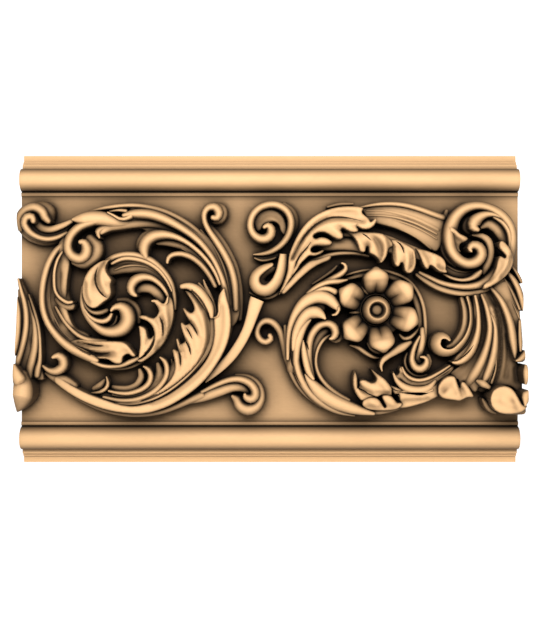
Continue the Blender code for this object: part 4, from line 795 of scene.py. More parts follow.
# %% The leaf surfaces
LEAVES = """
canopy_leaf | 9 14, 12 22, 15 30, 17.5 38, 18.3 46, 19.3 54, 21.8 61, 25.8 70, 31.3 79.5, 39 88.5, 48 95,
59 99.8, 70 102.2, 80 102.8, 89 102.4, 93.4 101, 93 99, 92.3 97, 93.5 95, 96.5 92.5, 99.5 89.5, 101 87.2,
103.5 89, 106 91.6, 107 89, 105 84.5, 100.5 80.7, 95.5 79.8, 91 80.6, 87.2 82.4, 88.3 80.3, 88.5 78.3, 86.5 77,
81.5 77, 77 79, 73.5 80.4, 71.2 79, 72.6 76, 73.3 73, 72.5 70.6, 69 69.8, 65 71, 61 73.3, 56.5 76, 51.5 76.9,
46.5 75.6, 43.5 72.8, 46 70.3, 50 71.7, 55 71.5, 59.5 69.5, 62.4 66.8, 61 64.4, 56 63.3, 50 63.2, 45 63.3,
41.8 61, 41 58.5, 43 56.6, 47 56.7, 50.5 58.2, 53.5 59.2, 53.8 57.6, 50 55, 44.5 53.3, 40 53.5, 36.5 50.8,
31.5 46, 28 40.5, 24 35, 19 28, 14 20 | 13 24 24, 17.5 34 26, 19.5 46 28, 23 58 30, 28.5 69 32, 36 80 33.5,
44 88.5 34, 54 95 34, 66 99.3 34.5, 78 100.3 34.5, 90 100 33.5 | 22.5 50 25, 26 57.5 26.5, 30 65 28.5,
36 74 30.5, 43 81.5 31.5, 50 87 31.5, 58 90.6 32, 67 91.8 32.5, 77 91.3 33, 86 89.3 33.5, 93 87.8 34.5 |
62 96 32.8, 74 96.8 32.6, 86 96 32.6 | 17 27 25.5, 21 37 27.5, 24 46 29.5, 28.5 56 31.5, 34 65 33, 41 74 34.5,
50 81 36, 61 85 37, 72 86.3 37.5, 82 85.3 37.5, 92 83.5 37.5, 99 84 38, 104 87.3 38.5, 106 90.5 38.5 |
58 84 37, 64 80 37.5, 69 75.5 38, 71.6 72 37.5 | 74 85 37.5, 80 81.5 38, 85.8 79 38 | 71.5 80.5 34.5,
68 83 36 | 86.5 83.2 35.5, 83 84.5 36.6 | 22.5 33 25.5, 24.8 40 26, 27 47 27.5, 31 54 29, 36.5 60.5 30.5,
40.5 66 32, 42 70 33 | 18 25 25.5, 26.5 38 28, 31 46 30, 36 52.5 31, 39.3 57 31.5, 40 61 32.5 | 42.5 65 34,
47 67.5 35.5, 53 68 36, 58.5 67 35.5, 61.5 66.3 34.5 | 40 56 31.5, 43 54.7 31.5, 48 55.8 29.5, 53 58.2 27;
fringe_a | 78 77.2, 88 77.7, 96 77, 104 76.4, 110 76, 114.5 74.3, 118 71.5, 120.8 68.7, 122.8 65.5, 122.6 62.4,
119.3 61.3, 118 57.8, 117.2 54, 115 49.6, 112 46.4, 110 46.4, 109.3 49, 106.5 52.3, 103 54.6, 100 56,
99.3 58.5, 98.6 62, 97.2 62.6, 96 60, 95.2 57.4, 92.5 57, 90.3 58, 89 61.3, 87.4 66, 85.3 70, 82.5 73.4 |
81 76.2 31, 87 71.5 33.5, 90.5 66 34.5, 92.5 61.5 34, 93 58.5 32.5 | 90 76.5 32, 97 73 34.5, 102.5 67 35.5,
105 60.5 35, 105.5 55.5 33.5 | 97.3 63.8 31, 95.3 69 33.3 | 91 76 31.5, 96 73.6 32.6, 101 69.5 34 | 99 75.3 33,
104 71 32.5, 108 66 31.5, 110.5 60 31.5, 111 54 31.5, 110.3 49.5 31 | 101 76 34, 107.5 74 36, 113 70.5 37,
115.8 65.5 37.5, 115.8 59.5 37, 114 53 36, 111.5 48.3 34.5 | 119 70 33.5, 120.7 66 32, 120.5 63 31;
fringe_b | 120.5 69, 124 69.4, 128.5 68.5, 133 66.5, 138 63.8, 142 61, 144.8 59, 145.6 54, 146.2 48, 145.7 43,
144 38.8, 141.3 36.3, 138 36, 135.8 37.6, 134.4 40.5, 133.8 44, 132.4 46.4, 130.8 45.4, 129.6 43.2, 127.5 42.6,
125.4 44.2, 123.8 48, 122.7 54, 122.6 61, 121.8 65.5 | 124 67.5 30.5, 126.5 60 33, 127.3 51 33, 127.7 45 32 |
128 67.8 31.5, 134 62.3 34, 137 55 34.5, 138 47 34.5, 137 40 33 | 125.5 68.5 30.5, 129.5 65.5 31,
132.5 61 31.5, 134 56 33 | 132.6 47.3 31.5, 132.4 52 32.5 | 140 60.5 33, 142 54 32, 142 47 31.5, 140 41 31.5,
138.2 38 31.5 | 139.5 62.3 33.5, 143.4 57.5 34.5, 144.6 51 35, 144.2 44 35, 141.7 39 34, 139 37 33.5 |
123.6 64 29, 123.6 56 29.5, 124.8 49 30;
fringe_c | 145.5 60.5, 151 59.7, 158 58, 165 55.5, 170.5 52.8, 174.5 49, 176.4 44, 176 40, 177.3 37.8,
176.5 36.2, 172 36.7, 168 38.7, 164.5 41.7, 161.5 43.6, 159.8 42.8, 158.6 40.3, 156.3 40.6, 153.8 43.5,
151.8 48, 149.8 53, 147.8 57 | 149 58.5 29, 153.3 52 31.5, 156 46.5 32, 157.3 42.5 31 | 154 58.3 27.5,
158.5 53 28, 160.8 47.5 29, 161.3 45 29 | 159 57 28, 163.5 51.5 30, 166 47 29.5 | 162.5 44.4 30.5,
166 41.8 31.5, 170 39.2 31.5, 175.5 37.4 31 | 169 43 27, 173 41 27 | 170 49 28, 173 45.5 27.5;
ribbon | 91 100.5, 105 103.2, 120 104, 135 102.5, 150 98.5, 163 93.7, 174 89.5, 173 78, 172 66, 166 57.5,
158 62.5, 147 70.5, 135 77, 120 82, 106 85.5, 97 88, 95 94 | 95 98 17, 115 99 18, 135 95 18, 155 86 17.5,
169 79 17 | 100 92 17, 120 90 17.5, 140 83 17, 158 73 16.5, 168 65 16;
big_leaf | -84.5 18.3, -80 17.8, -74 13.3, -68 5.8, -63.5 -2, -60.3 -10, -58.3 -20, -58.5 -30, -61 -40,
-66 -50, -73.5 -60, -83 -69.5, -94 -78.5, -106 -86, -120 -91.8, -136 -95, -152 -95.5, -153 -93.4, -138 -92.3,
-124 -88.6, -114 -83.5, -106 -77.5, -99.5 -70.5, -96 -64, -94.7 -57, -95.7 -49, -97.3 -41.5, -95.3 -40.4,
-91.6 -41.6, -92.6 -36, -93.6 -30.3, -91.8 -30, -89.2 -34.8, -86.8 -33.8, -84.3 -31.6, -86.3 -25.5,
-88.6 -18.5, -89 -14.3, -87.3 -13.8, -84.5 -16, -81.5 -14.8, -79.6 -13.4, -82.5 -8.5, -85.5 -3, -86.8 0.6,
-85 0.5, -81.5 -2.7, -77.8 -3.6, -75.8 -1, -76.2 3.5, -79.3 10, -83 15.5 | -80.5 15.5 29.5, -76 8 32,
-71 -2 33, -67 -12 33.5, -65 -24 33, -66 -36 32, -70 -47 30.5, -77 -58 29, -86 -67 27.5, -98 -77 26,
-112 -85.5 25 | -85.8 0.2 28.5, -82 -4.5 30.5, -77 -10 32, -72 -18 32.5, -69 -27 32.5 | -79.5 -13.9 26.5,
-75.8 -18.8 28, -73 -24 29.8, -71 -30 31 | -80.5 -16.5 28.5, -76.5 -24 30.5, -74 -32 31.3, -73 -40 30.5 |
-83.3 -17.5 26.5, -79.5 -25 28.8, -77 -32 30.3 | -88.3 -15.5 27.5, -86.5 -21 29.5, -82.5 -29 30.5,
-79 -38 30.8, -77.3 -47 30, -79 -56 28.5 | -84 -32.2 25.5, -81 -38 27.3, -79.5 -44 28.6, -79.7 -50 28.7 |
-86 -35 26.5, -83.3 -42 28, -82.3 -50 28.3, -83.5 -57 27.5 | -89 -35.8 25, -86.3 -42 26.3, -85 -50 27.2 |
-92.8 -31 26, -91 -36 28, -88.6 -44 29, -87 -52 28.8, -88.5 -61 27.5, -94 -70.5 26 | -91.3 -41.9 24,
-89.9 -48 25.5, -89.5 -55 26.2, -91 -62 26 | -96.5 -42 25, -94 -46 27.5, -92.2 -53 28, -92.3 -60 27.5,
-95 -67 26.5, -102 -75 25.5, -112 -82.3 24.5, -126 -88.3 23.5, -142 -93 22 | -64.5 1 29, -61.5 -8 27,
-60 -18 25.5, -60 -30 24.5, -63 -41 23.5, -68.5 -51 23, -76 -60 22, -86 -69.3 21, -97 -78 20, -110 -85.8 19.5,
-125 -91.5 19 | -83 17 27.5, -76 13.5 28, -70 7 28, -66 1 28;
leaf_stem | -45 21.5, -43.2 12, -40 0, -38.8 -15, -41 -30, -46 -43, -53.5 -56, -63 -69, -75 -80.5, -90 -91,
-105 -98.8, -125 -104.3, -148 -103.6, -168 -99.5, -186 -92.5, -201 -84, -215 -73, -213 -67, -200 -75,
-184 -83.5, -167 -90, -150 -95.5, -135 -97, -119 -93.3, -104 -87, -89.5 -77.5, -75.5 -65.5, -65 -53,
-58.3 -39.5, -55.5 -25, -55.7 -10, -52 -7.5, -51 -1, -51 8, -49.3 15 | -46 17 33, -44 3 33.5, -42.3 -12 33,
-44.5 -28 32, -50 -43 31, -58.5 -57 30.5, -70 -70 30, -84 -81.5 29.5, -100 -92 29, -120 -99 28, -145 -99.5 27,
-168 -95 25, -186 -88 22.5, -201 -79 20, -213 -70 17 | -48.5 2 31.5, -50 -10 30.5, -51 -22 30, -54 -35 29,
-61 -49 28.2, -71 -61.5 27.7, -84 -73 27.2, -99 -84 26.7, -115 -92 26 | -53.5 -10 31, -54 -24 30,
-57.3 -37 28.5, -64.3 -50.5 27.5, -74.5 -62.8 27, -88 -74.5 26.5, -103 -84.6 26, -118 -91.7 25;
core_head | -159.5 49.8, -162.8 45.5, -164 40.5, -162.5 35.5, -159.5 31.5, -158 28.3, -159.3 25, -158.8 20,
-158.6 15, -161.5 10.3, -166.5 6.7, -171 3, -176 0.8, -181 2.5, -185 7.5, -187.3 15, -187.3 23, -185.3 31,
-181 38.5, -175 44, -168 48 | -166 46 27, -173 40.5 30, -179 32 33, -181.5 22 34.5, -180 11.5 34,
-175.5 4.5 31.5 | -171.5 42 29, -173.8 35 30, -174.3 27 30.7, -172 20 31.5, -168 14.8 32, -164 11.5 31.5 |
-163.5 45.5 33, -168 38 35.5, -168.3 30 37, -165.8 22 36.5, -163 15.5 35 | -164 37 35.5, -160.5 30.8 36,
-159.2 28.4 35.5 | -160.5 25 34, -162.5 24 35 | -185 25 30.5, -185 14 30.5, -181 6 30;
cup | -203 -34, -196 -31, -188 -30.4, -178 -31.5, -168 -31.9, -156 -32.2, -147 -33, -141.5 -36.5, -138 -41,
-134 -46.8, -137.5 -47.4, -141.3 -45, -144.2 -45.8, -146.8 -48, -147.3 -51, -148.3 -53.9, -152 -54.9,
-157 -53.5, -161 -50.8, -166 -49.8, -172 -50, -180 -49, -190 -45, -199 -39.5 | -190 -31.5 23, -178 -33.5 26,
-166 -34.2 28, -154 -35 29.5, -146 -36.5 31, -141 -40 31.5, -136.5 -45.3 31 | -192 -34 18.5, -182 -36.3 20.5,
-172 -37.2 24, -163 -37.5 27.2 | -194 -35.5 20, -184 -39 23, -172 -40.5 26.5, -160 -40.5 29.5,
-152 -41.5 30.5 | -192 -40 16, -182 -43.5 18, -171 -46 20, -162 -45.8 23.5, -157 -44 27.5 | -172 -48.8 26.5,
-164 -48.6 28.5, -157 -50.3 30, -152 -52 31, -149.5 -51.5 31 | -147 -43.5 29, -143 -43 29.5;
core_lobe_three | -131 -17, -127.5 -17.6, -124 -20.3, -122.8 -25, -121 -29.2, -118.5 -29.2, -116 -26.2,
-115.6 -28.8, -117.5 -34, -121 -40, -126 -46, -131 -50, -130.8 -44, -129.7 -36, -130 -27 | -129 -19.5 29,
-126.7 -27 31, -126 -35 31, -128.7 -43.5 29.5 | -117 -28.3 29.5, -120 -33.5 30.5, -125 -41 30 |
-121.3 -30.3 28.5, -123.3 -36 29.6;
fringe_root | 80 77, 100 77.5, 118 73.5, 135 66.5, 150 60.5, 168 54, 174 47, 166 45.5, 156 47, 148 49.5,
140 50, 128 53.5, 118 57, 108 61, 98 64.5, 88 70 | 84 75 28, 105 70 28, 125 63 27, 145 55.5 26.5, 165 50 25,
172 47 24;
leaf_groove | -53 0, -52 -15, -54 -30, -60 -44, -70 -58, -84 -71, -100 -82, -118 -90.5, -138 -95, -152 -96.5,
-152 -92.5, -136 -91.5, -120 -87.5, -104 -79.5, -90 -68.5, -78 -58.5, -68.5 -47.5, -62.5 -36, -60.5 -24,
-60.5 -10, -60.5 -3, -56 0 | -57 -3 26.5, -56.5 -20 26, -59.5 -36 25.5, -66 -50 25, -78 -63 24, -94 -76 23,
-112 -86.5 22, -132 -92.5 21, -150 -94.5 20;
drapery | 203 14, 203.5 4, 204 -6, 203.8 -16, 202 -26, 198.5 -34.5, 193 -41, 187 -46.5, 184 -51, 182.5 -54,
186 -56.3, 190 -57, 184 -61, 180 -64.5, 183 -67, 186 -70, 188.5 -75, 191 -75.5, 193 -72.5, 196 -74, 199 -78,
203 -82.5, 207 -82, 209 -78, 214 -78, 219 -80.5, 223 -79.5, 228 -78, 236 -76.8, 243 -78.5, 248 -83, 252.5 -84,
253.5 -77, 252.5 -70, 250.5 -62, 248 -55, 246.3 -51, 248 -44, 249.5 -36, 250.5 -25, 250.5 -10, 249 5, 245 18,
240 27, 232 28, 222 22, 212 16 | 205.5 12 21.8, 207.3 0 24.8, 208.5 -12 25.8, 208.3 -24 26.8, 205 -34.5 26.8,
199 -43 26.8, 191.5 -50 26.8, 185 -53.5 25.8 | 204.3 -12 20.8, 204.2 -24 21.8, 201 -34 22.8, 195 -42 23.3,
187.5 -49.3 23.8 | 211.5 12 14.8, 213 -5 14.8, 213.3 -20 14.8, 211.5 -33 15.3, 207 -44 15.8, 200 -54 16.3,
192 -62.5 16.8, 185 -66 16.8 | 213.5 14 19.8, 217 2 22.8, 219.5 -10 23.8, 220 -24 24.3, 218.3 -38 24.3,
213.5 -50 23.8, 206.5 -61 22.8, 199 -71 20.8, 194 -72.5 20.8 | 223 -18 22.1, 223 -32 22.1, 220 -46 22.1,
214.5 -58 21.8, 209.5 -68 20.8 | 222 2 22.8, 225.5 -12 24.3, 227.3 -26 25.3, 227.5 -40 25.8, 225.5 -53 25.8,
221.5 -66 24.8, 219 -74 22.8 | 224 -52 23.3, 219.5 -64 22.8, 216 -72 21.3 | 219 17 11.8, 225 4 11.8,
229.5 -10 11.8, 231.3 -25 12.3, 231.5 -40 12.8, 230 -55 12.8, 226.5 -68 12.8, 224 -76 12.8 | 233.5 -20 15.3,
234.5 -35 16.3, 234.5 -50 16.8, 232.5 -64 16.8, 229.5 -74 15.8 | 237 -25 12.8, 238.3 -40 12.8, 238 -54 13.3,
236 -68 13.8 | 222.5 21 19.8, 229 10 22.8, 235.5 -2 24.3, 240.5 -15 25.3, 243.5 -28 25.8, 245.3 -40 25.8,
245.6 -49 24.8 | 229 2 13.8, 235 -12 13.3, 238.5 -22 12.8 | 240 6 16.8, 245.5 -8 15.8, 248.5 -22 15.8,
249 -36 16.8 | 241 -54 14.8, 241.5 -66 16.8, 241 -77 16.8 | 245.5 -60 12.8, 247 -72 13.8 | 250.5 -70 17.8,
251 -80 17.8;
shell_left | 168.5 -84, 168.5 -78, 171 -73, 175 -69, 180 -67, 184.5 -67.5, 186.5 -71, 188.3 -76, 190 -78,
191 -74.5, 193.5 -72.8, 196.5 -75, 200 -80, 203.5 -86, 203 -88, 198 -88.3, 194 -90, 189.5 -91.8, 184 -91,
178 -90.3, 172 -88.5 | 173 -80 28, 178 -73 31, 182 -71 32 | 178 -84 32.5, 185 -86 31.5 | 185 -71 33,
187 -78 34, 189.5 -84 33.5, 191 -89.5 31 | 190.3 -79 28.5, 192 -83 30, 193 -87 30 | 193.8 -74.8 31,
197.5 -80 33, 201.5 -86 32;
bud | 85.3 -62.5, 83.5 -67, 83.2 -74, 84.5 -81, 88 -87.5, 92 -91.5, 97 -90, 104 -88, 108 -88, 110.5 -86.5,
114 -86, 118 -87, 121.5 -86.5, 122 -83, 121.8 -79, 119.5 -75.5, 116.5 -71.5, 112.5 -68, 107 -64.5, 102 -60.5,
103.8 -64.5, 106.3 -68.5, 106.3 -71.8, 103.5 -73.8, 99.5 -73, 95 -71, 90.5 -71.5, 89.3 -74, 89 -77, 87.8 -74,
87.3 -68 | 85.3 -65 27, 85.8 -73 30, 88 -80 31, 93 -86 30.5, 98 -88 28 | 88.8 -76.5 25.5, 91.5 -79.5 25.5,
95 -82.5 26, 101 -86 26.5 | 93 -75 28.5, 99 -78 30, 106 -80 30.5, 112 -79.5 30.5 | 103.5 -62.8 27,
109.5 -68.5 31, 114 -74.5 32.5, 117.5 -81 31 | 119 -84.5 27, 107 -85 28;
sling | 123.5 -62, 122.8 -66, 124 -71, 127 -75.5, 131 -78.8, 133.5 -80.5, 130.5 -81.8, 126 -80.8, 122.8 -79.3,
122.5 -82, 125.5 -85.5, 128.5 -84, 129.5 -87, 130 -92, 132 -95, 128.5 -97, 130 -99, 137 -98.5, 147 -96,
157 -92.8, 166 -88.5, 168.5 -86.5, 168.3 -80, 168.8 -73, 176 -68, 181 -63.5, 184 -58.5, 181 -56.5, 172 -62,
163 -66.5, 153 -69.5, 144 -69.5, 137 -66, 133 -60.5, 131.5 -57.5, 129.3 -60, 129.5 -64, 127 -66, 125.3 -65 |
132 -59.5 23.4, 136 -66 24.4, 143 -70.5 25.4, 153 -71 25.4, 164 -67.5 24.4, 174 -61.5 22.4, 181 -57.5 21.4 |
132 -65 20.9, 139 -71.8 21.9, 148 -73.8 22.4, 158 -72 22.4, 168 -67.5 21.4, 178 -61.5 20.4 | 134 -71 23.4,
142 -75.3 24.2, 152 -76 24.2, 162 -73.5 23.4, 172 -68.3 22.4 | 130 -71.5 19.4, 137 -77 19.9, 146 -78.6 20.4,
156 -77.3 20.4, 166 -73.5 19.4 | 124 -64 22.4, 126.5 -71 24.9, 132 -77.5 26.9, 141 -81 27.9, 150 -81.5 27.4,
160 -80 25.9, 166.5 -77 23.9 | 131 -87.3 26.4, 142 -88.3 26.9, 155 -88 26.4, 163 -85 25.4 | 135 -93 23.4,
147 -91.5 23.4, 158 -89.7 22.4;
cup_lobes | 92.5 -96, 93 -92, 96 -89.5, 101 -88.3, 106 -88.8, 110 -91.5, 113 -96, 115 -98.5, 116.3 -97.5,
114.5 -93, 112.3 -88.5, 113.5 -86.2, 118 -86, 122 -87.5, 125 -91, 128 -94, 131.5 -93.5, 132 -96.5, 128 -99.5,
122 -101, 112 -101.5, 103 -101, 96 -99.5 | 96 -94 28, 102 -93.5 31, 108 -96.5 30 | 116 -89.5 30, 120 -92 31,
123.5 -96 30 | 97 -98.5 26, 110 -100 27, 124 -99 27.5 | 128.5 -96 27.5;
shell_right | 220.5 -90, 222 -84, 226 -79.5, 232 -77.2, 238 -77.5, 243 -80.5, 246.5 -85, 249.5 -90, 253 -95.5,
257 -96.5, 256.5 -99, 253 -102.5, 246 -104.5, 236 -105, 229 -103.5, 224 -100, 221.3 -95 | 227 -86 37,
234 -81.5 39, 240 -83 40 | 226 -94 36.5, 233 -99 37.5, 244 -101 38 | 234 -91 39, 242 -93 38.5 | 245 -88 41,
249.5 -95 41.5, 253.5 -99 40;
arc_bed | -140 103, -120 101, -100 95, -85 87.5, -75 81, -66 76, -58 70, -48 58, -39 42, -33 25, -30 8, -31 -8,
-38 -18, -46 -12, -49 5, -50 22, -55 34, -62 44, -72 51, -84 54.5, -94 55, -90 59, -100 63, -112 65, -118 70,
-122 76, -128 80, -140 82 | -140 97 20, -115 95 20, -95 88 20, -75 74 20, -58 55 20, -46 32 20, -40 5 20 |
-130 82 12, -105 82 12, -85 74 12, -70 63 12, -58 47 13, -49 28 14 | -118 72 17, -98 68 18, -80 61 18,
-66 48 18, -56 35 18 | -36 25 17, -34 0 17, -48 58 17;
left_fan_bed | -254 19, -246 19, -240 3, -236 -14, -232 -38, -228 -58, -226 -70, -233 -70, -236 -66, -243 -66,
-250 -60, -256 -58, -256 -20 | -250 10 15, -244 -20 17, -240 -50 17 | -238 -30 15, -232 -62 16;
ring_bed | -212 64, -205 75, -199 70, -199 58, -200 44, -202 30, -203 15, -203 5, -200 -8, -194 -19, -180 -28,
-185 -50, -201 -38, -215 -20, -224 -1, -227 12, -225 31, -219 48 | -218 -12 18, -222 3 18, -224 15 18,
-220 35 18, -212 55 18 | -211 -12 14, -215 3 14, -216.5 15 14, -213 35 14 | -199 -16 19, -205 -3 20,
-207 12 20, -205 30 20, -204 48 20, -203 62 20 | -188 -40 18, -200 -32 18 | -186 -33 15, -198 -24 15;
corner_bed | -250 95, -246 101, -240 98, -236 90, -230 84, -220 80, -208 82, -198 88, -200 82, -208 72,
-222 66, -236 69, -246 76, -251 85 | -246 90 15, -238 78 15, -222 73 15, -205 80 15;
core_leaf | -116.5 7.5, -113 3, -111 -2, -112.3 -5.5, -114.5 -8.3, -118 -9, -121.5 -7.7, -126 -6.3,
-130.7 -7.2, -129 -9.5, -122 -12.5, -117.3 -18, -115.5 -25, -116.5 -32, -121 -41, -128 -48.5, -133 -51,
-128 -53, -117 -45.5, -107 -35.5, -101 -24, -97 -12, -96 0, -98 10, -102 12.5, -104 7, -106 4.5, -109 5,
-113 8 | -129 -7.8 28, -121.5 -10 30.5, -116.5 -13 31.5, -113 -18.5 31.5, -112.3 -26 31, -114 -34 30,
-119 -42 28.5, -127 -49 26.5 | -112 -6.5 29, -109.3 -13 30, -108 -21 30.5, -109 -30 30 | -110.7 -7.5 26,
-107.8 -12.5 26.5, -106 -20 26.5, -106.2 -29 26, -110 -37 26 | -107 3 29, -104 -8 30.5, -102 -18 29.5,
-105.5 -30 28, -113 -40 27, -124 -48.5 25.5 | -112.5 2 27, -110 -4 28.5 | -98 8 25, -98 -5 25.5, -99.5 -16 25,
-104.5 -29 24, -113 -41.5 23;
orb_thorn | 181 83, 186 79.5, 190 75.5, 195 73, 198 71, 197.5 68.5, 193.5 66.5, 190.5 65, 189.5 61, 191 57,
186 57, 181.5 62, 179 70, 179 78 | 182 80 32, 188 75 32.5, 193 71.5 32.5, 197 70 31 | 182 74 28, 183.5 67 26,
187 61 25.5 | 187 68 27.5, 190 66.5 28;
orb_claw | 229.5 66, 231 68, 234 67.5, 236.5 65, 240 61, 242.5 55, 243.5 48, 241.5 41, 237 34, 230 28, 222 23,
214 20, 214 24, 219 29, 223.5 35, 226.5 42, 228 49, 230.5 53, 235 51, 236 53, 232.5 57.5, 229.5 61.5 |
232 66 32, 235.5 61 34.5, 238.5 54 35.5, 238 47 36, 234 39 36, 227 31 34, 217 23.5 30 | 229 50 32, 229 44 33,
226 36 32.5, 219 28 29 | 242 52 30, 240 42 31, 232 31 30;
centre_curl_bed | -16 86, -13 94, -6 99, 2 100, 10 96, 15 89, 17 80, 15 74, 11 78, 9 84, 4 87, -1 86, -6 84,
-9 79, -13 78 | -12 88 16, -4 95 16, 5 95 16, 12 87 16 | -8 84 18.5, 0 90 18.5, 8 88 18.5;
flower_bed | 135 -1, 134.1 6, 131.4 12.5, 127.1 18.1, 121.5 22.4, 115 25.1, 108 26, 101 25.1, 94.5 22.4,
88.9 18.1, 84.6 12.5, 81.9 6, 81 -1, 81.9 -8, 84.6 -14.5, 88.9 -20.1, 94.5 -24.4, 101 -27.1, 108 -28,
115 -27.1, 121.5 -24.4, 127.1 -20.1, 131.4 -14.5, 134.1 -8 | 95 -1 14, 121 -1 14;
canopy_sole | 10 17, 14 15, 20 20, 28 28, 38 37, 48 44, 60 49.5, 60 54, 48 50, 40 48, 32 42, 24 34, 18 27,
12 22 | 13 18 23, 24 27 23.5, 38 41 23.5, 56 51 21;
"""
for name, outline, *ridges in table_rows(LEAVES):
    count = leaf_sheet(name, number_rows(outline), [number_rows(ridge) for ridge in ridges])
    print(name, count, "triangles")


# %% [markdown]
# ## The open flower
#
# Six petals stand round a bored boss. One petal is modelled lying along +X: a broad lobe, hollowed along
# the middle near its root. The repeat is left to Geometry Nodes: a tree puts one copy on each spoke and
# turns it to point away from the middle, so a change to the one petal changes all six. The spokes aren't
# quite evenly spaced, because the flower was carved by hand.

# %% One petal
FLOWER_MIDDLE = place(108.0, -1.0, 33.0)
PETAL_ANGLES = (92.0, 36.0, -17.0, -81.0, -139.0, 152.0)
PETAL_OUTLINE = number_rows("""16.2 8.8, 19 9.8, 22.5 11, 27 12, 31 12.5, 34.5 11.4, 37.5 8, 39.5 4.8,
                               41.5 2.2, 42.3 0.8""")
PETAL_CROWN = (18.0, 26.0, 32.0, 35.5, 36.5, 35.5, 33.0, 28.5)
PETAL_STEP = 1.6
PETAL_SIDE_STEPS = 12
PETAL_ROUND = 0.62
PETAL_FULLNESS = 2.6
ROOT_HOLLOW = 6.5
ROOT_HOLLOW_WIDTH = 1.9
ROOT_RADIUS = 20.0
ROOT_LENGTH = 9.0


def petal_mesh():
    """One closed petal along +X, its foot in the ground and its top hollowed near the root."""
    rings = []
    for radius, half, _, part in smooth_line([(*row, 0.0) for row in PETAL_OUTLINE], PETAL_STEP):
        crown = spread(PETAL_CROWN, part)
        near_root = min(1.0, max(0.0, 1.0 - (radius - ROOT_RADIUS) / ROOT_LENGTH))
        ring = []
        for step in range(PETAL_SIDE_STEPS + 1):
            side = math.sin(math.radians(90.0 - 180.0 * step / PETAL_SIDE_STEPS))
            round_off = PETAL_ROUND * half * (1.0 - math.sqrt(max(0.0, 1.0 - abs(side) ** PETAL_FULLNESS)))
            hollow = ROOT_HOLLOW * math.exp(-((side * half / ROOT_HOLLOW_WIDTH) ** 2)) * near_root
            height = crown - round_off - hollow
            ring.append(Vector((radius * MM, -(GROUND_DEPTH + height) * MM, side * half * MM)))
        rings.append(footed(ring))
    return lofted("petal", rings)


print("one petal", triangles(petal_mesh()), "triangles")


# %% Geometry Nodes: a petal on each spoke
def add_node(tree, kind, sockets=(), **settings):
    """A node with its settings. A socket gets a value or an output, and a node stands for its first output."""
    node = tree.nodes.new(kind)
    for name, value in settings.items():
        setattr(node, name, value)
    for key, value in dict(sockets).items():
        if isinstance(value, bpy.types.Node):
            value = value.outputs[0]
        if isinstance(value, bpy.types.NodeSocket):
            tree.links.new(value, node.inputs[key])
        else:
            node.inputs[key].default_value = value
    return node


def new_tree(name, sockets):
    """An empty Geometry Nodes tree with named inputs and one geometry output, and the inputs' outlets."""
    tree = bpy.data.node_groups.new(name, "GeometryNodeTree")
    tree.is_modifier = True
    tree.interface.new_socket("Geometry", in_out="INPUT", socket_type="NodeSocketGeometry")
    for label, kind in sockets:
        tree.interface.new_socket(label, in_out="INPUT", socket_type=kind)
    tree.interface.new_socket("Wood", in_out="INPUT", socket_type="NodeSocketMaterial")
    tree.interface.new_socket("Geometry", in_out="OUTPUT", socket_type="NodeSocketGeometry")
    return tree, add_node(tree, "NodeGroupInput").outputs


def end_tree(tree, geometry, wood):
    """The end of every tree: real geometry with its material."""
    real = add_node(tree, "GeometryNodeRealizeInstances", {"Geometry": geometry})
    paint = add_node(tree, "GeometryNodeSetMaterial", {"Geometry": real, "Material": wood})
    add_node(tree, "NodeGroupOutput", {"Geometry": paint})


def run_tree(name, mesh, tree, values):
    """Run a tree on a mesh and hand back the result as a plain mesh."""
    item = add_item(name, mesh)
    modifier = item.modifiers.new(name, "NODES")
    modifier.node_group = tree
    for socket in tree.interface.items_tree:
        if socket.in_out == "INPUT" and socket.name in values:
            modifier[socket.identifier] = values[socket.name]
    result = evaluated_mesh(item)
    bpy.data.objects.remove(item)
    result.name = name
    return result


def petal_ring_tree():
    """Spokes come in as loose points round the origin; each gets a petal turned to point outwards."""
    tree, given = new_tree("petal_ring", [("Petal", "NodeSocketObject"), ("Petal Size", "NodeSocketFloat")])
    spokes = add_node(tree, "GeometryNodeMeshToPoints", {"Mesh": given["Geometry"]})
    outward = add_node(tree, "GeometryNodeInputPosition")
    aim = add_node(tree, "FunctionNodeAlignRotationToVector", {"Vector": outward}, axis="X", pivot_axis="Y")
    aimed = add_node(tree, "GeometryNodeStoreNamedAttribute",
                     {"Geometry": spokes, "Name": "spoke_turn", "Value": aim},
                     data_type="QUATERNION", domain="POINT")
    middle = add_node(tree, "FunctionNodeInputVector", vector=(0.0, 0.0, 0.0))
    at_middle = add_node(tree, "GeometryNodeSetPosition", {"Geometry": aimed, "Position": middle})
    petal = add_node(tree, "GeometryNodeObjectInfo", {"Object": given["Petal"]})
    turn = add_node(tree, "GeometryNodeInputNamedAttribute", {"Name": "spoke_turn"}, data_type="QUATERNION")
    copies = add_node(tree, "GeometryNodeInstanceOnPoints",
                      {"Points": at_middle, "Instance": petal.outputs["Geometry"],
                       "Rotation": turn.outputs["Attribute"], "Scale": given["Petal Size"]})
    end_tree(tree, copies, given["Wood"])
    return tree


# %% Place the petals and turn the boss
BOSS_PROFILE = number_rows("""0 26.6, 3.6 26.4, 4.9 25.6, 5.6 23.4, 6.3 24, 7.2 29.5, 8.2 32.8, 9.2 33.3,
                              10.6 32, 12.2 29, 13.4 25.6, 13.9 18, 14.1 -1, 0 -1""")
BOSS_SIDES = 48
COLLAR_PROFILE = number_rows("0 12, 14.3 12, 14.8 15.5, 15.4 19.5, 15.9 18.5, 16.2 12, 16.4 -1, 0 -1")
COLLAR_SIDES = 16
POLE_JOIN = 0.00001


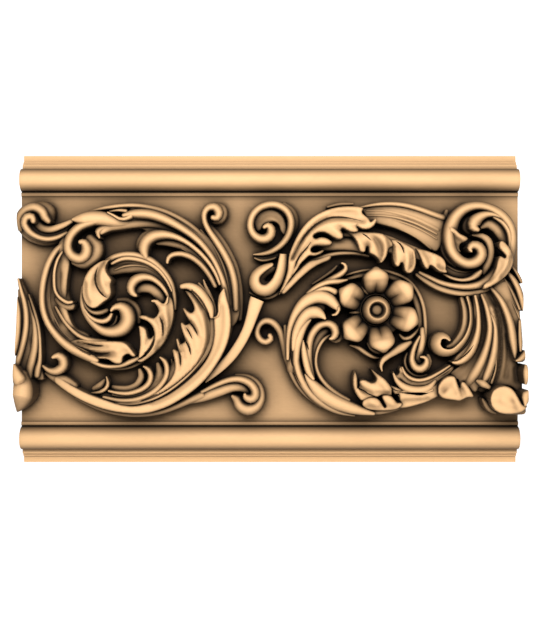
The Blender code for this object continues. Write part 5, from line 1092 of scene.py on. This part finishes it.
def spun(name, profile, sides):
    """A turned body on the flower's middle, from a profile of (radius, height)."""
    x, _, z = FLOWER_MIDDLE
    shape = bmesh.new()
    spots = [(x + radius * MM, -(GROUND_DEPTH + height) * MM, z) for radius, height in profile]
    points = [shape.verts.new(spot) for spot in spots]
    edges = [shape.edges.new(pair) for pair in zip(points, points[1:])]
    bmesh.ops.spin(shape, geom=points + edges, cent=(x, 0.0, z), axis=(0.0, 1.0, 0.0),
                   angle=2.0 * math.pi, steps=sides)
    bmesh.ops.remove_doubles(shape, verts=shape.verts, dist=POLE_JOIN)
    bmesh.ops.recalc_face_normals(shape, faces=shape.faces)
    add_item(name, mesh_from(shape, name), carving)


def flower():
    """Six petals on their spokes, each a body of the carving, and the boss and collar between them."""
    one = add_item("one_petal", petal_mesh())
    tree = petal_ring_tree()
    for number, angle in enumerate(PETAL_ANGLES, 1):
        name = f"petal_{number}"
        spoke = bpy.data.meshes.new("spoke")
        away = math.radians(angle)
        spoke.from_pydata([(math.cos(away), 0.0, math.sin(away))], [], [])
        mesh = run_tree(name, spoke, tree, {"Petal": one, "Petal Size": 1.0})
        for vertex in mesh.vertices:
            vertex.co += Vector((FLOWER_MIDDLE.x, 0.0, FLOWER_MIDDLE.z))
        add_item(name, mesh, carving)
    bpy.data.objects.remove(one)
    spun("flower_boss", BOSS_PROFILE, BOSS_SIDES)
    spun("flower_collar", COLLAR_PROFILE, COLLAR_SIDES)


flower()

# %% [markdown]
# ## The moulded board
#
# Both long edges carry the same moulding: small stepped fillets, a large bead and one low fillet before the
# ground. A moulding is one profile run along a straight line, which is just what Curve to Mesh does in
# Geometry Nodes. The profile is a loop of edges in (depth, height) and the tree sweeps it between two ends.
# The ground between the mouldings gets extra points, so that shade can be painted on it later.

# %% The board's profile
STEPS = number_rows("""154.4 -9, 148.6 -9, 147.9 -8.4, 147.7 -6.4, 145.6 -6.2, 145.1 -5.6,
                       144.9 -3.5, 140.6 -3.2""")
BEAD_MIDDLE = 128.6
BEAD_RADIUS = 11.4
BEAD_LIFT = -0.4
BEAD_START = 2.0
BEAD_TURN = 176.0
BEAD_STEPS = 20
LOW_FILLET = number_rows("116.9 -0.8, 116.2 1.5, 115.6 2, 113.2 2, 112.5 1.5, 112.2 0.2, 111.6 0")
GROUND_STEP = 4.0


def half_profile():
    """From the outer edge to the ground: (distance from the middle line, height above the ground)."""
    profile = list(STEPS)
    for step in range(BEAD_STEPS + 1):
        angle = math.radians(BEAD_START + BEAD_TURN * step / BEAD_STEPS)
        profile.append((BEAD_MIDDLE + BEAD_RADIUS * math.cos(angle), BEAD_LIFT + BEAD_RADIUS * math.sin(angle)))
    return profile + LOW_FILLET


def profile_loop():
    """The whole section of the board as a closed loop of edges, laid out as (depth, -height on the wall)."""
    upper = half_profile()
    count = round(2.0 * upper[-1][0] / GROUND_STEP)
    ground = [(upper[-1][0] * (1.0 - 2.0 * step / count), 0.0) for step in range(1, count)]
    lower = [(-z, height) for z, height in reversed(upper)]
    points = [((GROUND_DEPTH + height) * MM, -z * MM, 0.0) for z, height in upper + ground + lower]
    points += [(0.0, EDGE_OUT * MM, 0.0), (0.0, -EDGE_OUT * MM, 0.0)]
    edges = [(index, (index + 1) % len(points)) for index in range(len(points))]
    mesh = bpy.data.meshes.new("profile")
    mesh.from_pydata(points, edges, [])
    return mesh


# %% Geometry Nodes: run the moulding
COLUMN_COUNT = 128


def moulding_tree():
    """Sweep the incoming profile along X between two ends."""
    tree, given = new_tree("run_moulding", [("Half Length", "NodeSocketFloat"), ("Columns", "NodeSocketInt")])
    minus = add_node(tree, "ShaderNodeMath", {0: given["Half Length"], 1: -1.0}, operation="MULTIPLY")
    left = add_node(tree, "ShaderNodeCombineXYZ", {"X": minus})
    right = add_node(tree, "ShaderNodeCombineXYZ", {"X": given["Half Length"]})
    rail = add_node(tree, "GeometryNodeCurvePrimitiveLine", {"Start": left, "End": right})
    columns = add_node(tree, "GeometryNodeResampleCurve", {"Curve": rail, "Count": given["Columns"]})
    profile = add_node(tree, "GeometryNodeMeshToCurve", {"Mesh": given["Geometry"]})
    swept = add_node(tree, "GeometryNodeCurveToMesh",
                     {"Curve": columns, "Profile Curve": profile, "Fill Caps": True})
    end_tree(tree, swept, given["Wood"])
    return tree


board_values = {"Half Length": (HALF_LENGTH + RUN_OUT) * MM, "Columns": COLUMN_COUNT}
board_mesh = run_tree("moulded_board", profile_loop(), moulding_tree(), board_values)
print("moulded board", triangles(board_mesh), "triangles")

# %% [markdown]
# ## One board, carved
#
# The strokes overlap each other and run into the ground, as loose bodies. A Boolean union makes them one
# closed skin, with a crisp crease where two rolls meet. The Manifold solver is used because it joins
# hundreds of dense bodies in a few seconds and always hands back a closed mesh. A box then squares off both
# ends, because the frieze runs on past them and is cut through scrolls and leaves alike.

# %% Union and square ends
BOX_DEPTH = 0.4


def boolean(item, name, operation, target):
    """Add one Boolean that works on an object or a whole collection."""
    modifier = item.modifiers.new(name, "BOOLEAN")
    modifier.operation = operation
    modifier.solver = "MANIFOLD"
    if isinstance(target, bpy.types.Collection):
        modifier.operand_type = "COLLECTION"
        modifier.collection = target
    else:
        modifier.object = target


def end_box():
    """The box between the two cut ends."""
    shape = bmesh.new()
    bmesh.ops.create_cube(shape, size=1.0)
    bmesh.ops.scale(shape, verts=shape.verts, vec=(2.0 * HALF_LENGTH * MM, BOX_DEPTH, BOX_DEPTH))
    return add_item("square_ends", mesh_from(shape, "square_ends"))


def clear_collection(collection):
    """Remove a collection of bodies that a Boolean has used up."""
    for item in list(collection.objects):
        bpy.data.objects.remove(item)
    bpy.data.collections.remove(collection)


def carved_panel():
    """The board with its carving joined on and its ends cut, as one plain mesh."""
    board = add_item("moulded_board", board_mesh)
    box = end_box()
    boolean(board, "raise_carving", "UNION", carving)
    boolean(board, "cut_ends", "INTERSECT", box)
    mesh = evaluated_mesh(board)
    bpy.data.objects.remove(board)
    bpy.data.objects.remove(box)
    clear_collection(carving)
    mesh.name = "floral_panel"
    return add_item("floral_panel", mesh)


panel = carved_panel()
print("carved panel", triangles(panel.data), "triangles")

# %% [markdown]
# ## Veins and lips
#
# Last come the fine tools. A V-shaped tool is run along the leaves for the veins, and thin raised lips are
# left standing at some edges. Both follow the surface that is already there, whatever its height, so each
# line is given only as it is seen from the front: a ray from the eye finds the surface under every step,
# and the cutter or the lip is lofted along those heights. Their depth fades out at both ends, as a tool
# leaves the wood.

# %% Follow the surface
LINE_STEP = 2.2
FADE_START = 0.25
FADE_RATE = 3.0


def ray_tree(mesh):
    """A mesh ready to be hit by rays."""
    shape = bmesh.new()
    shape.from_mesh(mesh)
    tree = BVHTree.FromBMesh(shape)
    shape.free()
    return tree


def height_at(tree, start, way):
    """Height above the ground where a ray meets the carving, or nothing."""
    hit = tree.ray_cast(start, way)[0]
    return None if hit is None else -hit.y / MM - GROUND_DEPTH


def surface_line(tree, points):
    """(x, z, half width, fraction, heading, height) along a drawn line, with the height found by rays."""
    line = smooth_line(points, LINE_STEP)
    heights = [height_at(tree, EYE, (place(row[0], row[1], 0.0) - EYE).normalized()) or 0.0 for row in line]
    rows = []
    for index, row in enumerate(line):
        near = heights[max(index - 1, 0):index + 2]
        rows.append((*row, heading(line, index), sum(near) / len(near)))
    return rows


def line_rings(tree, points, section, rise):
    """Rings of a cutter or a lip that follows the surface; section pairs are (side, share of rise, extra)."""
    rings = []
    for x, z, half, part, way, height in surface_line(tree, points):
        fade = min(1.0, FADE_START + FADE_RATE * min(part, 1.0 - part))
        side_x = -math.sin(way) * half * fade
        side_z = math.cos(way) * half * fade
        ring = []
        for side, share, extra in section:
            ring.append(place(x + side_x * side, z + side_z * side, height + rise * fade * share + extra))
        rings.append(ring)
    return rings


def tool_pass(item, table, section, rise, operation):
    """Cut or raise all lines of a table on a panel and replace its mesh by the result."""
    tree = ray_tree(item.data)
    bodies = new_collection("tool_pass")
    for cells in table_rows(table):
        rings = line_rings(tree, number_rows(cells[0]), section, rise)
        add_item("line", lofted("line", rings), bodies)
    boolean(item, "tool_pass", operation, bodies)
    mesh = evaluated_mesh(item)
    item.modifiers.clear()
    item.data = mesh
    clear_collection(bodies)


# %% Lines of the lips
LIP_LINES = """
-66.5 28 0.7, -64 20 1, -59 12 1.1, -55 5 0.8;
"""

# %% Lines of the veins
VEIN_LINES = """
-196 -36 1, -184 -43 1.3, -170 -45.5 1.2, -160 -44 0.8;
-186 -34.5 0.8, -174 -36.8 1, -166 -37 0.7;
-172 42 0.8, -174 35 1.1, -174.3 27 1.1, -171.5 19.5 1.1, -167 14 1, -162.5 11 0.8;
-110 -8 0.8, -107 -15 1.1, -106.5 -27 0.9;
-115 -30 0.8, -118 -38 1.1, -125 -46 1.1, -131 -50 0.8;
-88 18.8 0.8, -80 18.6 1.1, -73 13.6 1.2, -66.5 5 1.2, -62 -5 1.1, -60 -12 0.8;
-80 -13.2 0.7, -75.8 -18.8 1, -72 -26.5 0.7;
-84.3 -31.6 0.7, -81 -38 1, -79 -46 0.7;
-91.4 -41.4 0.7, -89.8 -48 1, -89.3 -57 0.7;
-83.5 -18.5 0.6, -80.5 -23.5 0.8, -77.5 -30 0.6;
24.5 54.5 0.8, 30 65 1.1, 36 74 1.2, 43 81.5 1.2, 51 87.3 1.2, 60 91 1.2, 70 91.8 1.1, 80 90.8 1.1, 93 87.8 0.8;
24.5 40 0.7, 27 47 0.9, 31 54 1, 37 61 1, 41 67 0.7;
126 68 0.6, 130 65.2 0.9, 133 60 0.8, 134.2 56 0.6;
92 75.8 0.6, 96.5 73 0.8, 101.5 68.5 0.6;
204 -36 0.7, 198 -43.5 0.9, 190 -49.5 0.8, 184 -52 0.6;
226 -54 0.7, 223.5 -64 0.9, 221 -72 0.7;
36 -33 0.7, 37.6 -37 0.8, 39 -41 0.6;
22 -22 0.9, 20.8 -36 1, 21.5 -50 1, 25 -64 1, 31 -76 0.8;
"""

# %% Lines of the slots
SLOT_LINES = """
225 61.5 1.5, 229.5 58.3 1.5, 235.5 52 0.9;
110.8 -88.5 1, 113 -93 1.2, 115.3 -98.3 1;
123.5 -86.5 1.3, 127 -90 1.3, 130.7 -94.2 1.1;
129 -83.4 0.6, 141 -84.4 1, 150 -85 1.5, 158 -84.2 1;
187.6 -69.5 1.2, 188.7 -74 1.2, 189.2 -79 0.8;
88.5 -66 0.5, 88.8 -73 0.7, 88.8 -79 0.7, 94 -81.5 0.6, 98 -84.6 0.6, 104 -87 0.6, 109.5 -89.5 0.6;
-170.5 -51.8 0.8, -166.5 -52.6 1.8, -162.5 -54.2 1.4, -159 -55 0.6;
"""

# %% Run the tools
LIP = number_rows("1 0 -2.5, 1 0 -0.2, 0.6 0.75 0, 0 1 0, -0.6 0.75 0, -1 0 -0.2, -1 0 -2.5")
LIP_RISE = 1.2
V_TOOL = number_rows("1.9 0 4, 1 0 0.25, 0 -1 0, -1 0 0.25, -1.9 0 4")
V_DEPTH = 1.8
SLOT_TOOL = number_rows("1.5 0 5, 1 0 0.25, 0.5 -1 0, -0.5 -1 0, -1 0 0.25, -1.5 0 5")
SLOT_DEPTH = 7.0
tool_pass(panel, LIP_LINES, LIP, LIP_RISE, "UNION")
tool_pass(panel, VEIN_LINES, V_TOOL, V_DEPTH, "DIFFERENCE")
tool_pass(panel, SLOT_LINES, SLOT_TOOL, SLOT_DEPTH, "DIFFERENCE")
print("with veins and lips", triangles(panel.data), "triangles")

# %% Clear away loose crumbs
CRUMB_JOIN = 0.00001


def clear_crumbs(item):
    """Join points that all but touch, keep the largest body, and delete the crumbs that the cuts left."""
    shape = bmesh.new()
    shape.from_mesh(item.data)
    bmesh.ops.remove_doubles(shape, verts=shape.verts, dist=CRUMB_JOIN)
    bmesh.ops.dissolve_degenerate(shape, edges=shape.edges, dist=CRUMB_JOIN)
    unseen = set(shape.faces)
    bodies = []
    while unseen:
        body = [unseen.pop()]
        for face in body:
            for edge in face.edges:
                for other in edge.link_faces:
                    if other in unseen:
                        unseen.remove(other)
                        body.append(other)
        bodies.append(body)
    bodies.sort(key=len)
    crumbs = [face for body in bodies[:-1] for face in body]
    bmesh.ops.delete(shape, geom=crumbs, context="FACES")
    loose = [vertex for vertex in shape.verts if not vertex.link_faces]
    bmesh.ops.delete(shape, geom=loose, context="VERTS")
    wires = [edge for edge in shape.edges if not edge.link_faces]
    bmesh.ops.delete(shape, geom=wires, context="EDGES")
    uses = [len(edge.link_faces) for edge in shape.edges]
    shape.to_mesh(item.data)
    shape.free()
    print("crumbs", len(bodies) - 1, "with", len(crumbs), "faces;",
          "open edges", sum(use < 2 for use in uses), "crowded edges", sum(use > 2 for use in uses))


clear_crumbs(panel)

# %% [markdown]
# ## Shade painted into the hollows
#
# On the real panel the deep, narrow places are nearly black and the open ground is a mid brown, while every
# crown is pale. The lamps alone don't make that, so shade is painted into the wood's colour. Each point of the
# mesh gets a number, `openness`: how much of the room in front it can see. Rays dropped on a grid give the
# height of the carving everywhere. From each point the grid is looked over in all directions for its skyline,
# and the lower the skyline, the more open the point is and the paler it is painted.

# %% Height of the carving on a grid
GRID_STEP = 0.7
GRID_HALF_HEIGHT = 160.0
GRID_COLUMNS = round(2.0 * HALF_LENGTH / GRID_STEP)
GRID_ROWS = round(2.0 * GRID_HALF_HEIGHT / GRID_STEP)
RAY_START = -0.2


def height_grid(mesh):
    """Height above the ground on a fine grid, by rays from the front."""
    tree = ray_tree(mesh)
    grid = np.full((GRID_ROWS, GRID_COLUMNS), -GROUND_DEPTH)
    into_wall = Vector((0.0, 1.0, 0.0))
    for row in range(GRID_ROWS):
        z = (row + 0.5 - GRID_ROWS / 2) * GRID_STEP * MM
        for column in range(GRID_COLUMNS):
            x = (column + 0.5 - GRID_COLUMNS / 2) * GRID_STEP * MM
            height = height_at(tree, Vector((x, RAY_START, z)), into_wall)
            if height is not None:
                grid[row, column] = height
    return grid


# %% How much of the room each point sees
DIRECTIONS = 24
LOOK_OUT = (0.9, 1.6, 2.6, 4.0, 6.0, 9.0, 13.0, 19.0, 28.0, 40.0)
EDGE_STEPS_IN = 140.3
# Share of the painted shade that the outer steps of the mouldings take.
EDGE_SHADE_SHARE = 0.15
# Brightness that a flank turned edge-on to the front keeps; the rest is painted shade.
FLANK_SHARE = 0.6
SOFT_PASSES = 1


def openness(mesh, grid):
    """Per point, how open it is to the room in front, as painted shade: strong under a high skyline, weak on
    the outer steps, and deeper on flanks turned from the front.
    """
    points = np.empty(len(mesh.vertices) * 3)
    mesh.vertices.foreach_get("co", points)
    points = points.reshape(-1, 3) / MM
    heights = -points[:, 1] - GROUND_DEPTH
    seen = np.zeros(len(points))
    for number in range(DIRECTIONS):
        way = 2.0 * math.pi * number / DIRECTIONS
        skyline = np.zeros(len(points))
        for reach in LOOK_OUT:
            column = (points[:, 0] + reach * math.cos(way)) / GRID_STEP + GRID_COLUMNS / 2
            row = (points[:, 2] + reach * math.sin(way)) / GRID_STEP + GRID_ROWS / 2
            column = np.clip(column, 0, GRID_COLUMNS - 1).astype(int)
            row = np.clip(row, 0, GRID_ROWS - 1).astype(int)
            skyline = np.maximum(skyline, (grid[row, column] - heights) / reach)
        seen += 1.0 / (1.0 + skyline ** 2)
    # Painted shade: the outer steps take only part of it, and flanks elsewhere that turn from the front are
    # painted darker.
    outer_steps = np.abs(points[:, 2]) > EDGE_STEPS_IN
    shade_share = np.where(outer_steps, EDGE_SHADE_SHARE, 1.0)
    normals = np.array([vertex.normal.y for vertex in mesh.vertices])
    square_on = FLANK_SHARE + (1.0 - FLANK_SHARE) * np.abs(normals)
    return (1.0 - shade_share * (1.0 - seen / DIRECTIONS)) * np.where(outer_steps, 1.0, square_on)


def softened(mesh, values, passes):
    """Average each point's value with those of the points that it shares an edge with."""
    edges = np.empty(len(mesh.edges) * 2, dtype=np.int32)
    mesh.edges.foreach_get("vertices", edges)
    first, second = edges.reshape(-1, 2).T
    for _ in range(passes):
        total = values.copy()
        count = np.ones(len(values))
        for here, there in ((first, second), (second, first)):
            np.add.at(total, here, values[there])
            np.add.at(count, here, 1.0)
        values = total / count
    return values


# %% Store the openness on the mesh
open_values = softened(panel.data, openness(panel.data, height_grid(panel.data)), SOFT_PASSES)
attribute = panel.data.attributes.new("openness", "FLOAT", "POINT")
attribute.data.foreach_set("value", open_values.astype(np.float32))
print("openness from", round(float(open_values.min()), 2), "to", round(float(open_values.max()), 2))

# %% [markdown]
# ## The wood
#
# The wood is pale, smooth and close grained, a warm cream on the crowns. Shade is painted into its colour, down
# to a dark umber in the hollows. Two shader groups carry the effects: one fades the crown colour into the
# painted shade colour by openness, and one makes the fine grain that runs along the board. Both put out colours
# and values only, and the Principled shader stays in the material. An Ambient Occlusion node paints more shade
# into narrow creases.

# %% Shader group: hollow shade
def shader_group(name, ins, outs):
    """An empty shader group with named sockets, and its inputs' outlets."""
    group = bpy.data.node_groups.new(name, "ShaderNodeTree")
    for label, kind in ins:
        group.interface.new_socket(label, in_out="INPUT", socket_type=kind)
    for label, kind in outs:
        group.interface.new_socket(label, in_out="OUTPUT", socket_type=kind)
    return group, add_node(group, "NodeGroupInput").outputs


def hollow_shade_group():
    """Crown colour fading to the hollows' painted shade colour as the stored openness falls; Fading says how
    fast.
    """
    ins = [("Crown", "NodeSocketColor"), ("Hollow", "NodeSocketColor"), ("Fading", "NodeSocketFloat")]
    group, given = shader_group("hollow_shade", ins, [("Color", "NodeSocketColor"), ("Lit", "NodeSocketFloat")])
    stored = add_node(group, "ShaderNodeAttribute", attribute_name="openness")
    lit = add_node(group, "ShaderNodeMath", {0: stored.outputs["Fac"], 1: given["Fading"]}, operation="POWER")
    blend = add_node(group, "ShaderNodeMix",
                     {"Factor": lit, "A": given["Hollow"], "B": given["Crown"]}, data_type="RGBA")
    add_node(group, "NodeGroupOutput", {"Color": blend.outputs["Result"], "Lit": lit})
    return group


# %% Shader group: wood grain
GRAIN_STRETCH = (0.12, 1.0, 1.0)
PORE_DETAIL = 3.0
FIGURE_DETAIL = 4.0


def grain_group():
    """Fine pores and soft figure along X, from Object coordinates: a colour multiplier and a height."""
    ins = [(label, "NodeSocketFloat") for label in ("Pore Size", "Figure Size", "Depth")]
    group, given = shader_group("wood_grain", ins, [("Tint", "NodeSocketFloat"), ("Height", "NodeSocketFloat")])
    where = add_node(group, "ShaderNodeTexCoord").outputs["Object"]
    along = add_node(group, "ShaderNodeMapping", {"Vector": where, "Scale": GRAIN_STRETCH})
    pores = add_node(group, "ShaderNodeTexNoise",
                     {"Vector": along, "Scale": given["Pore Size"], "Detail": PORE_DETAIL}).outputs["Fac"]
    figure = add_node(group, "ShaderNodeTexNoise",
                      {"Vector": along, "Scale": given["Figure Size"], "Detail": FIGURE_DETAIL}).outputs["Fac"]
    both = add_node(group, "ShaderNodeMath", {0: pores, 1: figure}, operation="ADD")
    centred = add_node(group, "ShaderNodeMath", {0: both, 1: 1.0}, operation="SUBTRACT")
    scaled = add_node(group, "ShaderNodeMath",
                      {0: centred, 1: given["Depth"], 2: 1.0}, operation="MULTIPLY_ADD")
    add_node(group, "NodeGroupOutput", {"Tint": scaled, "Height": pores})
    return group


# %% The carved wood material
CROWN_COLOUR = (0.70, 0.425, 0.208, 1.0)
# Painted shade: the colour of the deepest hollows.
HOLLOW_SHADE_COLOUR = (0.008, 0.004, 0.002, 1.0)
FADING = 2.4
PORE_SIZE = 1400.0
FIGURE_SIZE = 60.0
GRAIN_DEPTH = 0.16
# Painted shade in creases, from ambient occlusion.
CREASE_REACH = 0.005
CREASE_DEPTH = 1.2
CREASE_SAMPLES = 12
HOLLOW_ROUGHNESS = 0.85
CROWN_ROUGHNESS = 0.50
SHINE = 0.15
PORE_STRENGTH = 0.15
PORE_RISE = 0.0003
SHARP_ANGLE = 42.0


def carved_wood():
    """Pale wood with shade painted into the hollows and creases, duller there, with fine grain and small pores.
    """
    material = bpy.data.materials.new("carved_wood")
    material.use_nodes = True
    tree = material.node_tree
    shader = tree.nodes["Principled BSDF"].inputs
    shade = add_node(tree, "ShaderNodeGroup", node_tree=hollow_shade_group())
    shade_values = {"Crown": CROWN_COLOUR, "Hollow": HOLLOW_SHADE_COLOUR, "Fading": FADING}
    grain = add_node(tree, "ShaderNodeGroup", node_tree=grain_group())
    grain_values = {"Pore Size": PORE_SIZE, "Figure Size": FIGURE_SIZE, "Depth": GRAIN_DEPTH}
    for node, values in ((shade, shade_values), (grain, grain_values)):
        for name, value in values.items():
            node.inputs[name].default_value = value
    tinted = add_node(tree, "ShaderNodeVectorMath",
                      {0: shade.outputs["Color"], "Scale": grain.outputs["Tint"]}, operation="SCALE")
    # Painted shade: ambient occlusion darkens the base colour in narrow creases.
    crease = add_node(tree, "ShaderNodeAmbientOcclusion", {"Distance": CREASE_REACH}, samples=CREASE_SAMPLES)
    darker = add_node(tree, "ShaderNodeMath", {0: crease.outputs["AO"], 1: CREASE_DEPTH}, operation="POWER")
    creased = add_node(tree, "ShaderNodeVectorMath", {0: tinted, "Scale": darker}, operation="SCALE")
    rough = add_node(tree, "ShaderNodeMapRange",
                     {"Value": shade.outputs["Lit"], "To Min": HOLLOW_ROUGHNESS, "To Max": CROWN_ROUGHNESS})
    bump = add_node(tree, "ShaderNodeBump",
                    {"Height": grain.outputs["Height"], "Strength": PORE_STRENGTH, "Distance": PORE_RISE})
    for node, socket in ((creased, "Base Color"), (rough, "Roughness"), (bump, "Normal")):
        tree.links.new(node.outputs[0], shader[socket])
    shader["Specular IOR Level"].default_value = SHINE
    return material


panel.data.materials.clear()
panel.data.materials.append(carved_wood())
panel.data.shade_smooth()
panel.data.set_sharp_from_angle(angle=math.radians(SHARP_ANGLE))
print("material", panel.data.materials[0].name)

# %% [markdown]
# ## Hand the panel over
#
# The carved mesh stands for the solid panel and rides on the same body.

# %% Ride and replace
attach(panel, "root")
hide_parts("carved_panel")

# %% [markdown]
# ## The studio
#
# The panel hangs in front of a plain white sweep, lit like a catalogue picture: one broad soft light from
# beside the camera, so that every surface facing the viewer is bright and every steep wall falls dark, with
# a little light from above and a weak all-round fill.

# %% Floor, backdrop and lights
FLOOR_HEIGHT = -1.1
FLOOR_FRONT = -6.0
BEND_START = 2.4
BEND_RADIUS = 1.2
BEND_STEPS = 12
WALL_TOP = 6.0
SWEEP_HALF_WIDTH = 7.0
SWEEP_WHITE = (0.9, 0.9, 0.9, 1.0)
SWEEP_ROUGHNESS = 0.9
SWEEP_GLOW = 0.75
WHITE = (1.0, 1.0, 1.0, 1.0)
ROOM_LIGHT = 0.12
SOFTBOXES = (
    ("front_light", (0.0, -0.95, 0.34), (0.75, 0.32), 14.2),
    ("top_light", (0.0, -1.2, 2.0), (1.2, 1.2), 2.0),
)


def plain_white():
    """The sweep's plain, softly glowing surface."""
    material = bpy.data.materials.new("sweep_white")
    material.use_nodes = True
    values = {"Base Color": SWEEP_WHITE, "Roughness": SWEEP_ROUGHNESS, "Emission Color": WHITE,
              "Emission Strength": SWEEP_GLOW}
    for name, value in values.items():
        material.node_tree.nodes["Principled BSDF"].inputs[name].default_value = value
    return material


def sweep():
    """A floor that turns up into a backdrop in one curve."""
    shape = bmesh.new()
    rows = [(FLOOR_FRONT, FLOOR_HEIGHT), (BEND_START, FLOOR_HEIGHT)]
    for step in range(1, BEND_STEPS + 1):
        angle = math.radians(90.0 * step / BEND_STEPS)
        rise = BEND_RADIUS * (1.0 - math.cos(angle))
        rows.append((BEND_START + BEND_RADIUS * math.sin(angle), FLOOR_HEIGHT + rise))
    rows.append((BEND_START + BEND_RADIUS, WALL_TOP))
    left = [shape.verts.new((-SWEEP_HALF_WIDTH, y, z)) for y, z in rows]
    right = [shape.verts.new((SWEEP_HALF_WIDTH, y, z)) for y, z in rows]
    for index in range(len(rows) - 1):
        shape.faces.new((left[index], right[index], right[index + 1], left[index + 1]))
    mesh = mesh_from(shape, "sweep")
    mesh.materials.append(plain_white())
    mesh.shade_smooth()
    add_item("sweep", mesh)


def softbox(name, spot, size, power):
    """A soft area light that faces the panel."""
    data = bpy.data.lights.new(name, "AREA")
    data.shape = "RECTANGLE"
    data.size, data.size_y = size
    data.energy = power
    item = add_item(name, data)
    item.location = spot
    item.rotation_euler = (-Vector(spot)).to_track_quat("-Z", "Y").to_euler()


sweep()
for box in SOFTBOXES:
    softbox(*box)
world = bpy.data.worlds.new("studio")
world.use_nodes = True
world.node_tree.nodes["Background"].inputs["Color"].default_value = WHITE
world.node_tree.nodes["Background"].inputs["Strength"].default_value = ROOM_LIGHT
bpy.context.scene.world = world
bpy.context.scene.view_settings.view_transform = "Standard"

# %% [markdown]
# ## The camera
#
# The picture is taken from one metre in front of the ground, looking straight at the middle. The lens makes
# one picture point of a 537 by 622 frame equal one millimetre on the ground.

# %% Camera
SENSOR_WIDTH = 36.0
LENS = 57.88
SHIFT = (-0.0020, -0.0032)
camera_data = bpy.data.cameras.new("camera")
camera_data.sensor_width = SENSOR_WIDTH
camera_data.lens = LENS
camera_data.shift_x, camera_data.shift_y = SHIFT
camera = add_item("camera", camera_data)
camera.location = EYE
camera.rotation_euler = (math.radians(90.0), 0.0, 0.0)
bpy.context.scene.camera = camera
